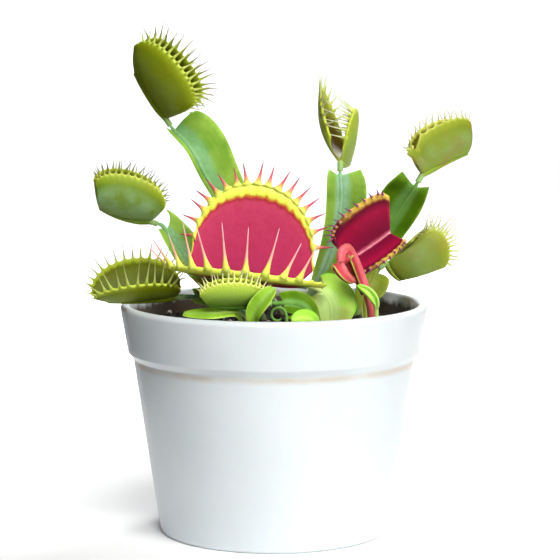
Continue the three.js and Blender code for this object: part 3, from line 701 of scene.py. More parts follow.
# %% Lobes and teeth
def lobes_shell(trap, lobes, columns=150, rows=30):
    """Both lobes as one sheet, from the right margin over the hinge to the left margin.

    It is 1.05 mm thick at the hinge, 0.55 mm in the field and 0.9 mm at the rim, whose edge is
    rounded off like a circle: the square root of 1 - t^2.
    """
    u = np.linspace(0, 1, columns)[:, None]
    v = np.sin(np.linspace(0, np.pi / 2, rows + 1))[None] ** 0.9
    right = lobe_place(trap, lobes[1], -1, *np.broadcast_arrays(u, v[:, ::-1]))
    left = lobe_place(trap, lobes[0], 1, *np.broadcast_arrays(u, v[:, 1:]))
    middle = np.concatenate([right, left], 1)
    across = np.concatenate([v[:, ::-1], v[:, 1:]], 1)
    end = np.minimum(u, 1 - u)
    body = 0.55 + 0.5 * (1 - smoothstep(0, 0.25, across)) + 0.35 * smoothstep(0.78, RIM_START, across)
    edge = np.sqrt(np.clip(1 - ((across - RIM_START) / (1 - RIM_START)).clip(0) ** 2, 0.02, 1))
    thickness = body * edge * (0.35 + 0.65 * smoothstep(0, 0.03, end))
    side = np.concatenate([np.zeros(rows + 1), np.ones(rows)])[None]
    return sheet(middle, thickness, across=across, along=u, left=side)


def teeth_shell(trap, lobe, side, seed, rings=9):
    """The teeth of one lobe.

    Each starts inside the rim and leaves it along the lobe's own run, turned inwards by lean,
    fanned out along the margin by comb and bent further by curl times the square of the way along
    it. The radius is root (1.7 (1 - h)^6 + 0.75 (1 - h)^0.8 + 0.06).
    """
    count = lobe["teeth"]
    k = np.arange(count)
    u = lobe["first"] + (lobe["last"] - lobe["first"]) * (k + 0.5) / count
    one = np.ones(count)
    margin = lobe_place(trap, lobe, side, u, one)
    edge = unit(lobe_place(trap, lobe, side, np.minimum(u + EDGE_STEP, 1), one)
                - lobe_place(trap, lobe, side, np.maximum(u - EDGE_STEP, 0), one))
    outward = margin - lobe_place(trap, lobe, side, u, one * 0.95)
    outward = unit(outward - np.sum(outward * edge, 1, keepdims=True) * edge)
    inward = np.cross(edge, outward) * side
    lean = np.radians(lobe["lean"] + LEAN_SPREAD * (chance(seed + 4, k) - 0.5))[:, None]
    sway = (0.3 * (chance(seed + 7, k) - 0.5) + lobe["comb"] * (u - 0.5))[:, None]
    ahead = unit(outward * np.cos(lean) + inward * np.sin(lean) + edge * sway)
    vary = 0.86 + 0.28 * chance(seed + 3, k)
    length = lobe["tooth"] * (lobe["even"] + (1 - lobe["even"]) * np.sin(np.pi * u)) * vary
    h = np.linspace(0, 1, rings)[None, :, None]
    reach = length[:, None, None]
    paths = (margin[:, None] - outward[:, None] * TOOTH_SUNK
             + ahead[:, None] * h * (reach + TOOTH_SUNK)
             + inward[:, None] * lobe["curl"] * reach * h ** 2
             + edge[:, None] * (0.12 * (chance(seed + 9, k) - 0.5))[:, None, None] * reach * h ** 2)
    taper = h[..., 0]
    radius = lobe["root"] * (1.7 * (1 - taper) ** 6 + 0.75 * (1 - taper) ** 0.8 + 0.06)
    return rods(paths, edge[:, None], radius, 0.7, 8, across=1.0, along=u[:, None], tooth=taper,
                inside=0.6, left=0.5 + side * 0.5)


def hinge_shell(trap, rings=40):
    """The rib under the hinge and the neck: a rod that thins from the stalk to the tip.

    Its path turns from the neck's line to the sagging hinge by a smooth step.
    """
    base, axes, length, _ = trap_axes(trap)
    x = np.linspace(-NECK_STUB - NECK_GAP - 0.5, length * 0.97, rings)
    u = (x / length).clip(0, 1)[:, None]
    dip = trap.get("sag", SAG) * 4 * u * (1 - u) + NECK_DROP
    on_trap = base + x[:, None] * axes[0] - dip * axes[2]
    on_neck = neck_point(trap, np.maximum(-x, 0)[:, None])
    turn = smoothstep(-0.9, 0.9, x)[:, None]
    path = on_neck * (1 - turn) + on_trap * turn
    knuckle = 0.1 * smoothstep(0.5, 3, x) * (1 - smoothstep(3, 8, x))
    radius = 0.86 - 0.46 * smoothstep(0, length, x) + knuckle
    return rods(path[None], axes[1], radius[None], 1.0, 12, across=0.0, along=u.T, neck=1 - turn.T)


# %% [markdown]
# ## Making a stalk
#
# The stalk of a flytrap's leaf is flat and winged like a leaf itself. Its blade widens from the
# root to the shoulders under the trap, where it ends, and a round rib runs up its middle and on to
# the trap. The blade is a sheet whose two halves rise a little to each side and wave at the edge.

# %% Blades and ribs
def stalk_points(stalk, trap=None):
    """The route's points: down in the peat, up through the given ones, and into the neck."""
    x, y = stalk["root"]
    points = [(x, y, SOIL_TOP - ROOT_DEPTH), (x, y, SOIL_TOP - ROOT_DEPTH * 0.4),
              (x, y, SOIL_TOP + 0.5), *stalk["through"]]
    if trap:
        joint = NECK_STUB + NECK_GAP
        points += [neck_point(trap, joint + NECK_RUN), neck_point(trap, joint)]
    return points


def half_width(stalk, widest, peak, round_off, t):
    """Grows from low at the foot to widest at peak by a smooth step, then rounds off above it."""
    grown = stalk["low"] + (widest - stalk["low"]) * smoothstep(0, peak, t) ** 0.8
    above = ((t - peak) / (1 - peak)).clip(0, 1)
    return grown * (1 - (1 - round_off) * above ** 2.2)


def facing(stalk, share):
    """The way that the blade faces: an even blend of face0 at the root and face1 at the trap.

    A stalk without face1 keeps face0 all the way.
    """
    top = np.array(stalk.get("face1", stalk["face0"]))
    return unit(np.array(stalk["face0"]) * (1 - share) + top * share)


def blade_place(stalk, points, t, q):
    """The blade's middle surface at t from its foot to its top and q from edge to edge.

    It is the spine's point, moved sideways by q times the half width and forwards by the fold and
    by wave q^2 sin(2 pi waves t). Towards the top the edges run ahead of the rib by shoulder.
    """
    length = curve(points, [0.0])[2]
    left = half_width(stalk, stalk["left"], stalk.get("peakLeft", stalk["peak"]),
                      stalk.get("roundLeft", stalk["round"]), t)
    right = half_width(stalk, stalk["right"], stalk["peak"], stalk["round"], t)
    across = q * np.where(q < 0, left, right)
    ahead = stalk["shoulder"] * smoothstep(0.55, 1, t) * np.abs(q) ** 1.3
    start = max(stalk["start"], (ROOT_DEPTH + BLADE_LIFT) / length)
    h = start + (stalk["stop"] - start) * t + ahead / length
    place, tangent, _ = curve(points, h)
    side = unit(np.cross(tangent, facing(stalk, h.clip(0, 1)[..., None])))
    front = unit(np.cross(side, tangent))
    fold = math.radians(stalk["fold"])
    wave = stalk["wave"] * q * q * np.sin(2 * np.pi * stalk["waves"] * t + np.where(q < 0, 0, 1.7))
    lift = np.abs(across) * math.sin(fold) + wave
    return place + side * (across * math.cos(fold))[..., None] + front * lift[..., None]


def blade_shell(stalk, points, columns=110, rows=29):
    """The blade as a sheet, half as thick again at the rib, thinned by sqrt(1 - q^6) to its edges."""
    t = np.linspace(0, 1, columns)[:, None]
    q = np.sin(np.linspace(-np.pi / 2, np.pi / 2, rows))[None]
    t, q = np.broadcast_arrays(t, q)
    middle = blade_place(stalk, points, t, q)
    thin = np.sqrt((1 - q ** 6).clip(0.03, 1)) * np.sqrt((1 - (2 * t - 1) ** 16).clip(0.05, 1))
    thickness = stalk["thick"] * thin * (1 + 0.5 * np.exp(-(q / 0.22) ** 2))
    return sheet(middle, thickness, across=np.abs(q), along=t)


def rib_shell(stalk, points, rings=90):
    """The round rib and stem, from the peat to the trap, sunk into the blade's back.

    The radius goes evenly from foot to top, swells by bud as a half sine near the end, and closes
    there by sqrt(1 - t^4).
    """
    h = np.linspace(0, 1, rings)
    place, tangent, _ = curve(points, h)
    swell = stalk["bud"] * np.sin(np.pi * ((h - BUD_START) / (1 - BUD_START)).clip(0, 1)) ** 0.7
    radius = (stalk["foot"] + (stalk["top"] - stalk["foot"]) * h) * RIB_SHARE + swell
    end = ((h - CAP_START) / (1 - CAP_START)).clip(0, 1)
    radius = radius * np.sqrt((1 - end ** 4).clip(0.05))
    side = np.cross(tangent, facing(stalk, h[:, None]))
    return rods(place[None], side[None], radius[None], 0.9, 12, across=0.0, along=h[None])


# %% [markdown]
# ## Leaf materials
#
# A living leaf is a thin wet film under a waxy skin: light enters it, scatters and comes out
# coloured, and the skin adds a soft shine. So the shader has a little scattering below the surface
# and a middling roughness. The colour follows the layers on the points: how far across the lobe a
# point is, whether it is inside the trap, and how far along a tooth.

# %% Trap material
def trap_material(name, inside, outside, teeth, left_teeth=None, blush=0.0, bluish_share=0.3,
                  dark_foot=None, veined=0.006):
    """Flesh of a trap: colour stops across the inside and the outside of a lobe, and up a tooth.

    left_teeth are the teeth of the left lobe, blush is the share of red patches, the bluish share
    is that of a painted sheen, a bluish reflection painted on the middle of the lobe's outside, and
    dark_foot is a colour that the inside's rim has near the stalk.
    """
    made, tree, place = start_material(name)
    noise = {size: add(tree, "TexNoise", Vector=place, Scale=per(size), Detail=detail)
             for size, detail in ((1.6, 3), (3, 3), (5, 4), (7, 3))}
    across, along, tooth, neck = (
        add(tree, "Attribute", layer) for layer in ("across", "along", "tooth", "neck"))
    shifted = add(tree, "Math", "SUBTRACT", i0=across, i1=0.035)
    wander = add(tree, "Math", "MULTIPLY_ADD", i0=noise[1.6], i1=0.07, i2=shifted)

    # Inside: the ramp, with rosy clouds and a bare foot.
    within = add(tree, "ValToRGB", stops=inside, Fac=wander)
    mottle = add(tree, "TexNoise", Vector=place, Scale=per(2.5), Detail=5, Roughness=0.6)
    rosy = add(tree, "MapRange", Value=mottle, From_Min=0.45, From_Max=0.75, To_Max=0.3)
    within = add(tree, "Mix", i0=rosy, i6=within,
                 i7=add(tree, "Mix", "MULTIPLY", i0=1.0, i6=within, i7="#d8a0a8"))
    if dark_foot:
        near = add(tree, "MapRange", Value=along, From_Min=0.4, From_Max=0.62, To_Min=1, To_Max=0)
        rim = add(tree, "MapRange", Value=across, From_Min=0.76, From_Max=0.84)
        bare = add(tree, "Math", "MULTIPLY", i0=near, i1=rim)
        within = add(tree, "Mix", i0=bare, i6=within, i7=dark_foot)

    # Outside: the ramp, with red patches and a painted bluish sheen on the middle of the lobe.
    patch = add(tree, "MapRange", Value=noise[7], From_Min=0.5, From_Max=0.75, To_Max=blush)
    off = add(tree, "Math", "ABSOLUTE", i0=add(tree, "Math", "SUBTRACT", i0=across, i1=0.45))
    middle = add(tree, "MapRange", Value=off, From_Min=0.05, From_Max=0.34, To_Min=bluish_share, To_Max=0)
    cloud = add(tree, "MapRange", Value=noise[5], From_Min=0.3, From_Max=0.7)
    haze = add(tree, "Math", "MULTIPLY", i0=middle, i1=cloud)
    without = add(tree, "ValToRGB", stops=outside, Fac=wander)
    # The red patches are the leaf's own colour; the second mix is the painted bluish sheen.
    for share, colour in ((patch, "#a84a30"), (haze, "#93b989")):
        without = add(tree, "Mix", i0=share, i6=without, i7=colour)

    # The two sides, the neck and the teeth together.
    spike = add(tree, "ValToRGB", stops=teeth, Fac=tooth)
    if left_teeth:
        left_spike = add(tree, "ValToRGB", stops=left_teeth, Fac=tooth)
        spike = add(tree, "Mix", i0=add(tree, "Attribute", "left"), i6=spike, i7=left_spike)
    is_inside = add(tree, "MapRange", Value=add(tree, "Attribute", "inside"),
                    From_Min=0.3, From_Max=0.55)
    is_tooth = add(tree, "MapRange", Value=tooth, From_Min=0.02, From_Max=0.16)
    colour = add(tree, "Mix", i0=is_inside, i6=without, i7=within)
    for share, over in ((neck, "#9cc078"), (is_tooth, spike)):
        colour = add(tree, "Mix", i0=share, i6=colour, i7=over)

    # Cells, fine veins across the lobe and broad lumps raise the skin.
    veins = add(tree, "Math", "SINE", i0=add(tree, "Math", "MULTIPLY", i0=along, i1=150.0))
    pebbles = add(tree, "TexVoronoi", Vector=place, Scale=per(0.45))
    normal = add(tree, "Bump", Height=pebbles, Distance=0.02 * MM)
    for height, size in ((veins, veined), (noise[3], 0.12)):
        normal = add(tree, "Bump", Height=height, Distance=size * MM, Normal=normal)
    end_material(tree, Base_Color=colour, Normal=normal, Roughness=0.46, IOR=1.38,
                 Specular_IOR_Level=0.28, Subsurface_Weight=0.15, Subsurface_Scale=0.001,
                 Subsurface_Radius=(1.0, 0.7, 0.3))
    return made


# %% Blade material
def blade_material(name, rib, field, edge, root, haze=0.5, cloudy=0.8, blush=0.0,
                   blush_colour="#c65a4a"):
    """Skin of a flat stalk: a pale waxy rib, the green field, a brighter edge and a pale root."""
    made, tree, place = start_material(name)
    noise = {size: add(tree, "TexNoise", Vector=place, Scale=per(size), Detail=detail)
             for size, detail in ((3, 3), (5, 3), (6, 4), (7, 2))}
    layer = add(tree, "Attribute", "across")
    shifted = add(tree, "Math", "SUBTRACT", i0=layer, i1=0.1)
    across = add(tree, "Math", "MULTIPLY_ADD", i0=noise[3], i1=0.2, i2=shifted)
    body = add(tree, "ValToRGB", Fac=across,
               stops={0.0: rib, 0.26: rib, 0.48: field, 0.88: field, 0.97: edge})
    cloud = add(tree, "MapRange", Value=noise[6], From_Min=0.35, From_Max=0.7)
    dull = add(tree, "Mix", "MULTIPLY", i0=cloudy, i6=body, i7="#b9cf9c")
    body = add(tree, "Mix", i0=cloud, i6=dull, i7=body)

    # Wax near the rib, the pale foot and red patches lie over it.
    wax = add(tree, "TexNoise", Vector=place, Scale=per(1.1), Detail=5, Roughness=0.65)
    waxy = add(tree, "MapRange", Value=wax, From_Min=0.52, From_Max=0.72, To_Max=haze)
    near_rib = add(tree, "MapRange", Value=across, From_Min=0.1, From_Max=0.5, To_Min=1, To_Max=0)
    bluish_share = add(tree, "Math", "MULTIPLY", i0=waxy, i1=near_rib)
    foot = add(tree, "MapRange", Value=add(tree, "Attribute", "along"), From_Max=0.3,
               To_Min=0.75, To_Max=0)
    flush = add(tree, "MapRange", Value=noise[5], From_Min=0.5, From_Max=0.72, To_Max=blush)
    for share, over in ((bluish_share, "#b9dcc0"), (foot, root), (flush, blush_colour)):
        body = add(tree, "Mix", i0=share, i6=body, i7=over)

    # Fine strands run along the blade, under small and broad lumps.
    strands = add(tree, "Math", "SINE", i0=add(tree, "Math", "MULTIPLY", i0=layer, i1=46.0))
    grain = add(tree, "TexNoise", Vector=place, Scale=per(1.2), Detail=4, Roughness=0.6)
    normal = add(tree, "Bump", Height=strands, Distance=0.006 * MM)
    for height, size in ((grain, 0.06), (noise[7], 0.25)):
        normal = add(tree, "Bump", Height=height, Distance=size * MM, Normal=normal)
    end_material(tree, Base_Color=body, Normal=normal, Roughness=0.45, IOR=1.38,
                 Specular_IOR_Level=0.3, Subsurface_Weight=0.15, Subsurface_Scale=0.001,
                 Subsurface_Radius=(0.8, 1.0, 0.3))
    return made


# %% The plant's finishes
# A trap's bluish share sets how much painted sheen, a bluish reflection in the colour, its outside has.
green_trap = trap_material(
    "green_trap_flesh",
    inside={0.0: "#a8ac40", 0.3: "#6c5c1c", 0.7: "#7c7824", 0.9: "#a8b43c", 0.95: "#c4d048"},
    outside={0.0: "#6c8828", 0.35: "#789844", 0.75: "#6c881c", 0.93: "#94a82c", 0.98: "#c0cc50"},
    teeth={0.1: "#b0c050", 0.4: "#7c8838", 0.9: "#54482c"}, blush=0.1, bluish_share=1.0,
)
deep_trap = trap_material(
    "deep_green_trap_flesh",
    inside={0.0: "#6c7818", 0.5: "#5c6808", 0.84: "#647010", 0.93: "#9cac28"},
    outside={0.0: "#708004", 0.35: "#727e00", 0.75: "#6a7800", 0.93: "#8c9c18", 0.98: "#c0d048"},
    teeth={0.1: "#a8bc40", 0.4: "#84903c", 0.9: "#5c5434"}, blush=0.05, bluish_share=0.15,
    left_teeth={0.1: "#bccc58", 0.4: "#b8bc70", 0.9: "#a09870"},
)
olive_trap = trap_material(
    "olive_trap_flesh", left_teeth={0.1: "#d0d868", 0.4: "#c8c080", 0.9: "#c8b488"},
    inside={0.0: "#b0b850", 0.6: "#9c9c40", 0.86: "#a09c38", 0.95: "#ccd058"},
    outside={0.0: "#88a030", 0.35: "#849838", 0.75: "#7c8c24", 0.93: "#94a02c", 0.98: "#c0c858"},
    teeth={0.1: "#c8d060", 0.4: "#b0b468", 0.9: "#a89c70"}, blush=0.35, bluish_share=0.3,
)
shaded_trap = trap_material(
    "shaded_olive_trap_flesh", left_teeth={0.1: "#c0cc60", 0.4: "#c8c490", 0.9: "#c8bc98"},
    inside={0.0: "#98a040", 0.6: "#848830", 0.86: "#8c8c30", 0.95: "#b8c050"},
    outside={0.0: "#7c9430", 0.35: "#74882c", 0.75: "#748428", 0.93: "#909c30", 0.98: "#b8c454"},
    teeth={0.1: "#b8c458", 0.4: "#b4b470", 0.9: "#b0a880"}, blush=0.2, bluish_share=0.3,
)
slender_trap = trap_material(
    "slender_trap_flesh",
    inside={0.0: "#a8ac40", 0.3: "#5c4414", 0.7: "#6c5c1c", 0.9: "#98a038", 0.95: "#c4d048"},
    outside={0.0: "#8ca428", 0.5: "#94ac30", 0.93: "#a8b838", 0.98: "#c0cc4c"},
    teeth={0.1: "#c0cc68", 0.4: "#c8d0a0", 0.9: "#dce0cc"}, blush=0.1, bluish_share=0.15,
)
red_trap = trap_material(
    "red_trap_flesh",
    inside={0.0: "#a82c5c", 0.3: "#b8345e", 0.7: "#c23c62", 0.8: "#c84464", 0.835: "#b03038",
            0.86: "#cc8034", 0.885: "#dce850", 0.97: "#f0fa70"},
    outside={0.0: "#e05068", 0.5: "#f07860", 0.76: "#f09850", 0.84: "#e8d850", 0.89: "#ecf860"},
    teeth={0.06: "#e8f460", 0.22: "#e8b060", 0.42: "#d4646c", 0.8: "#ac3c54", 0.95: "#802840"},
    left_teeth={0.06: "#e8f460", 0.22: "#f4e070", 0.38: "#fcb8a0", 0.7: "#f8a8ac",
                0.95: "#ffe4e0"},
    bluish_share=0.0, veined=0.002,
)
fresh_trap = trap_material(
    "fresh_green_trap_flesh",
    inside={0.0: "#b8d048", 0.6: "#a8c03c", 0.86: "#a0b838", 0.95: "#d0e050"},
    outside={0.0: "#5c842c", 0.3: "#88ac3c", 0.7: "#a4c440", 0.93: "#c8dc54", 0.98: "#e8f080"},
    teeth={0.1: "#e0ec70", 0.4: "#f0f0a0", 0.9: "#e8e0b0"}, bluish_share=0.2,
)
maroon_trap = trap_material(
    "maroon_trap_flesh",
    inside={0.0: "#f0a8b0", 0.05: "#c85070", 0.11: "#7c1038", 0.35: "#940f3c", 0.62: "#b01444",
            0.8: "#741030", 0.85: "#a85c30", 0.9: "#f0cc58"},
    outside={0.0: "#7a2038", 0.5: "#6a1230", 0.9: "#5c0c28", 0.98: "#8a3040"},
    teeth={0.1: "#f0c868", 0.25: "#a85078", 0.9: "#54246c"}, bluish_share=0.0, dark_foot="#6c0e30",
    veined=0.003,
)
green_blade = blade_material(
    "green_stalk_skin", "#8cc084", "#94bc48", "#a8cc54", "#dce4b0", haze=0.3)
pale_blade = blade_material(
    "pale_stalk_skin", "#a4d4ac", "#98c050", "#b0d45c", "#e0ecc0", haze=0.45)
# Partly the leaf's own darker green, partly painted shade: darkened so the under leaf's stalk looks
# shaded.
dark_shaded_blade = blade_material(
    "dark_stalk_skin", "#7cac54", "#60880f", "#80a424", "#a8bc74", haze=0.12)
olive_blade = blade_material(
    "olive_stalk_skin", "#b0bc50", "#a0b034", "#b8c448", "#d0d090", haze=0.15,
    blush=0.2, blush_colour="#a08040")
lime_blade = blade_material(
    "lime_stalk_skin", "#d4f890", "#bcf458", "#98ec38", "#e4fc90", haze=0.0,
    cloudy=0.2, blush=0.3, blush_colour="#ffc8a0")
# The young red leaf's pale pink rib is partly its own colour, partly a painted highlight along the
# fold's ridge.
red_blade_with_highlight = blade_material(
    "young_red_leaf_skin", "#f46c7c", "#d84456", "#d0d470", "#982438", haze=0.15)
young_blade = blade_material(
    "young_leaf_skin", "#c0ec60", "#a4dc40", "#8cd030", "#d0ec88", haze=0.05, cloudy=0.4)
fresh_blade = blade_material(
    "fresh_leaf_skin", "#a8d058", "#a0cc38", "#c8e868", "#b0c060", haze=0.1)
print("finishes:", len(bpy.data.materials))

# %% [markdown]
# ## The leaves with traps
#
# Each leaf has its hinge's two ends, the way that its trap opens, the shape of its lobes and the
# route of its stalk, chosen from the photo. Left and right are the lobes' sides as seen
# from the stalk with the opening up.

# %% Leaves with traps
LEAVES = {
    "tall_left": dict(
        finish=(deep_trap, green_blade),
        trap=dict(
            base=(-31.3, 8, 120.4), tip=(-40.6, 8, 134.1), up=(0.75, -0.3, 0.5), seed=1,
            both=dict(hBase=6, hTip=5.5, overBase=1.2, overTip=6.2, dome=11.5, full=0.55, a0=56,
                      a1=-30, tooth=7, lean=-8, teeth=18, root=0.3),
        ),
        stalk=dict(
            root=(3, 8), start=0.2, stop=0.97, low=2, left=1.8, right=10.4, peakLeft=0.5, roundLeft=0.8,
            peak=0.86, round=0.7, shoulder=2,
            face0=(0, -1, 0.1), face1=(0.2, -1, 0.1), fold=12, wave=0.5,
            through=[(-3.5, 7, 71.2), (-14.1, 8, 93.3), (-20, 8, 103.3), (-24.6, 8, 111.6)],
        ),
    ),
    "mid_left": dict(
        finish=(green_trap, green_blade),
        trap=dict(
            base=(-36.3, 5, 90.6), tip=(-51, 1, 95), up=(0.28, -0.16, 0.94), seed=2, sag=1.3,
            both=dict(hBase=5.4, hTip=8.2, overBase=2.6, overTip=3.6, dome=9, a0=60, a1=-40,
                      tooth=3.8, lean=-5, teeth=16, root=0.3),
        ),
        stalk=dict(
            root=(-3, 2), start=0.25, stop=0.93, low=2.6, left=3.4, right=6, peakLeft=0.6, roundLeft=0.5,
            peak=0.75, round=0.8, shoulder=2.5, face0=(0, -1, 0.3), face1=(0.3, -1, 0.3), fold=12,
            wave=0.3,
            through=[(-4.4, 1.8, 64), (-14.3, 0, 69.4), (-24.6, 3, 78.5), (-30, 6, 85.2)],
        ),
    ),
    "low_left": dict(
        finish=(deep_trap, green_blade),
        trap=dict(
            base=(-28.1, -8.3, 69.9), tip=(-47.9, -14.3, 69.2), up=(0, -0.42, 0.9), seed=3, sag=0.6,
            both=dict(hBase=2.5, hTip=2.5, overBase=1.8, overTip=4.5, dome=10.5, a0=62, a1=12,
                      tooth=5, lean=-6, teeth=16, root=0.3),
            left=dict(overBase=0.4, dome=7.8, a1=-5, tooth=10, even=0.5, lean=-6, teeth=12, first=0.22,
                      comb=0.3),
        ),
        stalk=dict(
            root=(-7, -6), start=0.29, stop=0.88, left=3, right=3.5, peak=0.7, shoulder=1.2,
            face0=(0, -0.7, 0.7), fold=10,
            through=[(-8, -6.1, 64), (-13.6, -7, 67.6)],
        ),
    ),
    "center": dict(
        finish=(red_trap, lime_blade),
        trap=dict(
            base=(7.2, -9.5, 73.4), tip=(-22.7, -6.5, 76.6), up=(0, -0.6, 0.8), seed=4, sag=1,
            both=dict(hBase=4.5, hTip=4, overBase=4, overTip=2, dome=24.5, full=0.75, a0=44, a1=34,
                      flare=20, tooth=5.6, even=0.8, lean=0, teeth=17, root=0.7, scallop=1.0,
                      curl=0.1),
            left=dict(hBase=5, dome=15.5, overBase=8.5, overTip=8, a0=50, a1=38, flare=-75, tooth=12,
                      lean=10, even=0.8, teeth=10, first=0.22, root=0.62, scallop=0.4, comb=1.4,
                      curl=0),
        ),
        stalk=dict(
            root=(16.5, -12.5), start=0.12, stop=0.79, low=5, left=13.5, right=8, peakLeft=0.36,
            roundLeft=0.3, peak=0.5, round=0.5, shoulder=2.5, face0=(0, -1, 0.3),
            face1=(0, -1, 0.45), fold=6, wave=0.15, waves=1.2, thick=0.8,
            through=[(16.2, -12.5, 67), (14.2, -11.5, 71)],
        ),
    ),
    "under": dict(
        finish=(fresh_trap, dark_shaded_blade),
        trap=dict(
            base=(-2.9, -32, 71.1), tip=(-18.4, -32, 70.6), up=(0, -0.12, 0.99), seed=5,
            both=dict(hBase=1.8, hTip=3, overBase=1.5, overTip=2, dome=6.5, a0=62, a1=-25,
                      tooth=3.2, lean=10, teeth=17, root=0.3),
        ),
        stalk=dict(
            root=(13, -22), start=0.2, stop=0.86, left=3.6, right=4, peak=0.6, shoulder=1.2,
            face0=(0, -1, 0.5), fold=6, through=[(8.2, -25.5, 68.8)],
        ),
    ),
    "tall_right": dict(
        finish=(slender_trap, pale_blade),
        trap=dict(
            base=(19.3, 4, 108), tip=(22.6, 15.8, 107), up=(-0.1, 0, 1), neck=(0, -0.1, -1), seed=6,
            both=dict(hBase=5, hTip=7, overBase=0.3, overTip=2, dome=15, tooth=9, teeth=15, root=0.34),
            left=dict(dome=17, a0=46, a1=-20, lean=-14, tooth=9, hBase=8, overBase=1.5),
            right=dict(dome=12.5, hBase=4, hTip=5, overTip=0, a0=30, a1=0, lean=44),
        ),
        stalk=dict(
            root=(9, 8), start=0.14, stop=0.97, left=4.3, right=7.6, peak=0.86, round=0.8,
            shoulder=1.6, face0=(0, -1, 0.1), fold=12, wave=0.4,
            through=[(12.4, 6, 71.3), (16.5, 6, 81.7), (18.8, 6, 90), (19.6, 4.8, 98)],
        ),
    ),
    "maroon": dict(
        finish=(maroon_trap, dark_shaded_blade),
        trap=dict(
            base=(21.4, -4.3, 79.3), tip=(33.5, -7.3, 88), up=(-0.12, -0.95, 0.32), seed=7,
            both=dict(hBase=5, hTip=6.5, overBase=1, overTip=3.5, dome=2.5, a0=66, a1=52,
                      tooth=2.4, lean=20, teeth=13, scallop=0.3),
            left=dict(hBase=4.5, hTip=9.5, overBase=-0.6, overTip=6.5, dome=6, full=0.6, a1=44,
                      tooth=3),
        ),
        stalk=dict(
            root=(17, -4), start=0.15, stop=0.8, left=2.5, right=2.5, shoulder=1,
            face0=(0, -1, 0.3), through=[(16.9, -3.6, 70.5)],
        ),
    ),
    "upper_right": dict(
        finish=(olive_trap, dark_shaded_blade),
        trap=dict(
            base=(43.2, 6, 104.2), tip=(57.9, 17, 110), up=(-0.25, -0.1, 0.95),
            neck=(-0.5, 0, -0.86), seed=8, sag=-0.2,
            both=dict(hBase=8.5, hTip=9, overBase=1.5, overTip=2, dome=4.6, a0=50, a1=-30,
                      tooth=3.6, lean=-5, teeth=12, root=0.3),
            left=dict(overBase=0),
            right=dict(overBase=4.5, notch=0.4),
        ),
        stalk=dict(
            root=(25, 13), start=0.2, stop=0.965, left=7.4, right=5.6, peak=0.75, round=0.65,
            peakLeft=0.8, roundLeft=0.75, shoulder=2, face0=(0, -1, 0.1), wave=0.3,
            through=[(28.9, 14.5, 75.7), (33.7, 14, 86.8), (38.4, 10.4, 95.2)],
        ),
    ),
    "lower_right": dict(
        finish=(shaded_trap, olive_blade),
        trap=dict(
            base=(33.4, 4, 78.4), tip=(37.6, 4.6, 73), up=(0.72, 0.2, 0.68),
            neck=(-0.8, 0, -0.6), seed=9, sag=0.6,
            both=dict(hBase=11, hTip=13.5, overBase=-0.6, overTip=5, dome=8, a0=50, a1=-30,
                      tooth=9, even=0.6, lean=-4, teeth=17, root=0.22, comb=0.3),
        ),
        stalk=dict(
            root=(27, -2), start=0.2, stop=0.9, left=4, right=5, peak=0.7, round=0.6,
            shoulder=1, fold=6, through=[(26.8, -1.5, 69), (28.6, 0, 73)],
        ),
    ),
}

for name, leaf in LEAVES.items():
    trap = leaf["trap"]
    lobes = [{**LOBE, **trap["both"], **trap.get(side, {})} for side in ("left", "right")]
    shells = [lobes_shell(trap, lobes), hinge_shell(trap),
              teeth_shell(trap, lobes[0], 1, trap["seed"]),
              teeth_shell(trap, lobes[1], -1, trap["seed"] + 20)]
    stalk = {**STALK, **leaf["stalk"]}
    route = stalk_points(stalk, trap)
    flesh, skin = leaf["finish"]
    piece(f"{name}_trap", shells, flesh, f"trap_{name}")
    piece(f"{name}_stalk", [blade_shell(stalk, route), rib_shell(stalk, route)], skin,
          f"stalk_{name}")

# %% [markdown]
# ## Young and small leaves
#
# A new leaf comes up folded, with its stalk's wings pressed together and its trap tucked in, so
# these are the same blade with a strong fold. The smallest of them is still a coiled bud.

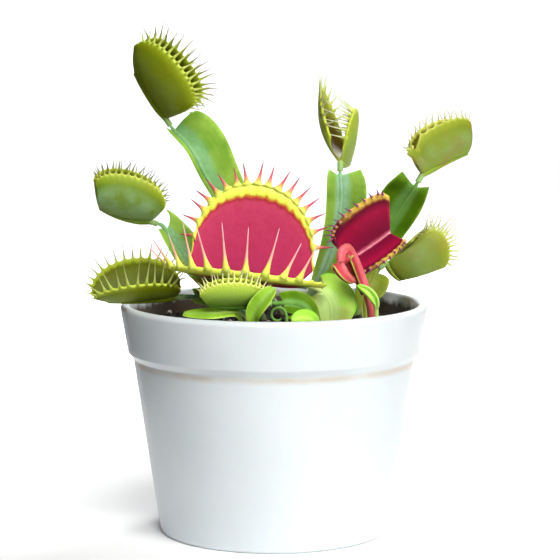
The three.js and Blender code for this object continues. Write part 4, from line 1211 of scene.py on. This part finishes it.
# %% Small leaves
SMALL_LEAVES = {
    "leaf_young_red": dict(
        finish=red_blade_with_highlight, root=(28.2, -14.2), start=0.4, stop=0.99, low=1.8,
        left=3.8, right=3.8, peak=0.45, round=0.3, shoulder=0, fold=66, foot=2.2, top=1.7,
        face0=(-1, -0.3, 0.4), face1=(0.4, -0.2, -1), thick=0.9,
        through=[(27.6, -15, 67.5), (26.2, -16, 72.5), (24.5, -16.7, 77.7), (22.7, -17.4, 82.1),
                 (20.7, -18.4, 85), (18.9, -19.8, 83.6), (18.9, -20.9, 80.6), (20.6, -21.5, 77.4),
                 (23, -21.6, 75.2)],
    ),
    "leaf_lime_bud": dict(
        finish=lime_blade, root=(28.8, -22.8), start=0.62, stop=1, low=0.8,
        left=2, right=2, peak=0.5, round=0.3, shoulder=0, fold=60, foot=0.9, top=0.9, bud=0.75,
        face0=(0, -1, 0.2), face1=(-0.2, -1, 0.2), thick=0.8,
        through=[(28.9, -23.4, 66.5), (28.6, -24.2, 70), (26.6, -25.2, 73), (23.4, -25.4, 75)],
    ),
    "leaf_curled": dict(
        finish=fresh_blade, root=(-5, -35), start=0.35, stop=1, low=1, left=3.2,
        right=3.6, peak=0.6, round=0.5, shoulder=-0.6, fold=38, face0=(-0.3, -1, 0.2),
        face1=(-0.3, -1, 0.4), through=[(-5.2, -36, 68), (-2.6, -36.5, 72), (0.4, -36, 75.5)],
    ),
    "leaf_flat_left": dict(
        finish=fresh_blade, root=(-9, -27), start=0.3, stop=1, left=2.6,
        right=2.6, peak=0.6, round=0.35, shoulder=0, fold=6, face0=(0, -0.5, 0.85),
        through=[(-10.4, -30, 67.5), (-17.1, -31, 67.6), (-25.2, -29, 67.3)],
    ),
    "leaf_small_front": dict(
        finish=young_blade, root=(12, -31), start=0.5, stop=1, left=3, right=3,
        peak=0.5, round=0.3, shoulder=0, face0=(0, -1, 0.5),
        through=[(10.5, -32.5, 65.5), (7.4, -34.5, 66.6), (5, -35.5, 66)],
    ),
}

for name, leaf in SMALL_LEAVES.items():
    stalk = {**STALK, **leaf}
    route = stalk_points(stalk)
    piece(name + "_fine", [blade_shell(stalk, route), rib_shell(stalk, route)], leaf["finish"], name)

# %% Coiled bud
COIL_POINTS = 8
COIL_RADIUS = 2.3
COIL_CENTRE = (1.2, -34.8, 67.8)
coil_turn = np.arange(COIL_POINTS) / COIL_POINTS * 2 * np.pi
coil_radius = COIL_RADIUS * (1 - 0.45 * np.arange(COIL_POINTS) / COIL_POINTS)
coil = COIL_CENTRE + np.stack([coil_radius * np.cos(coil_turn), np.zeros(COIL_POINTS),
                               coil_radius * np.sin(coil_turn)], -1)
coil_stalk = {**STALK, "root": (3.5, -34.8), "foot": 0.8, "top": 0.5, "through": coil.tolist()}
piece("leaf_coil_fine", [rib_shell(coil_stalk, stalk_points(coil_stalk))], dark_shaded_blade, "leaf_coil")
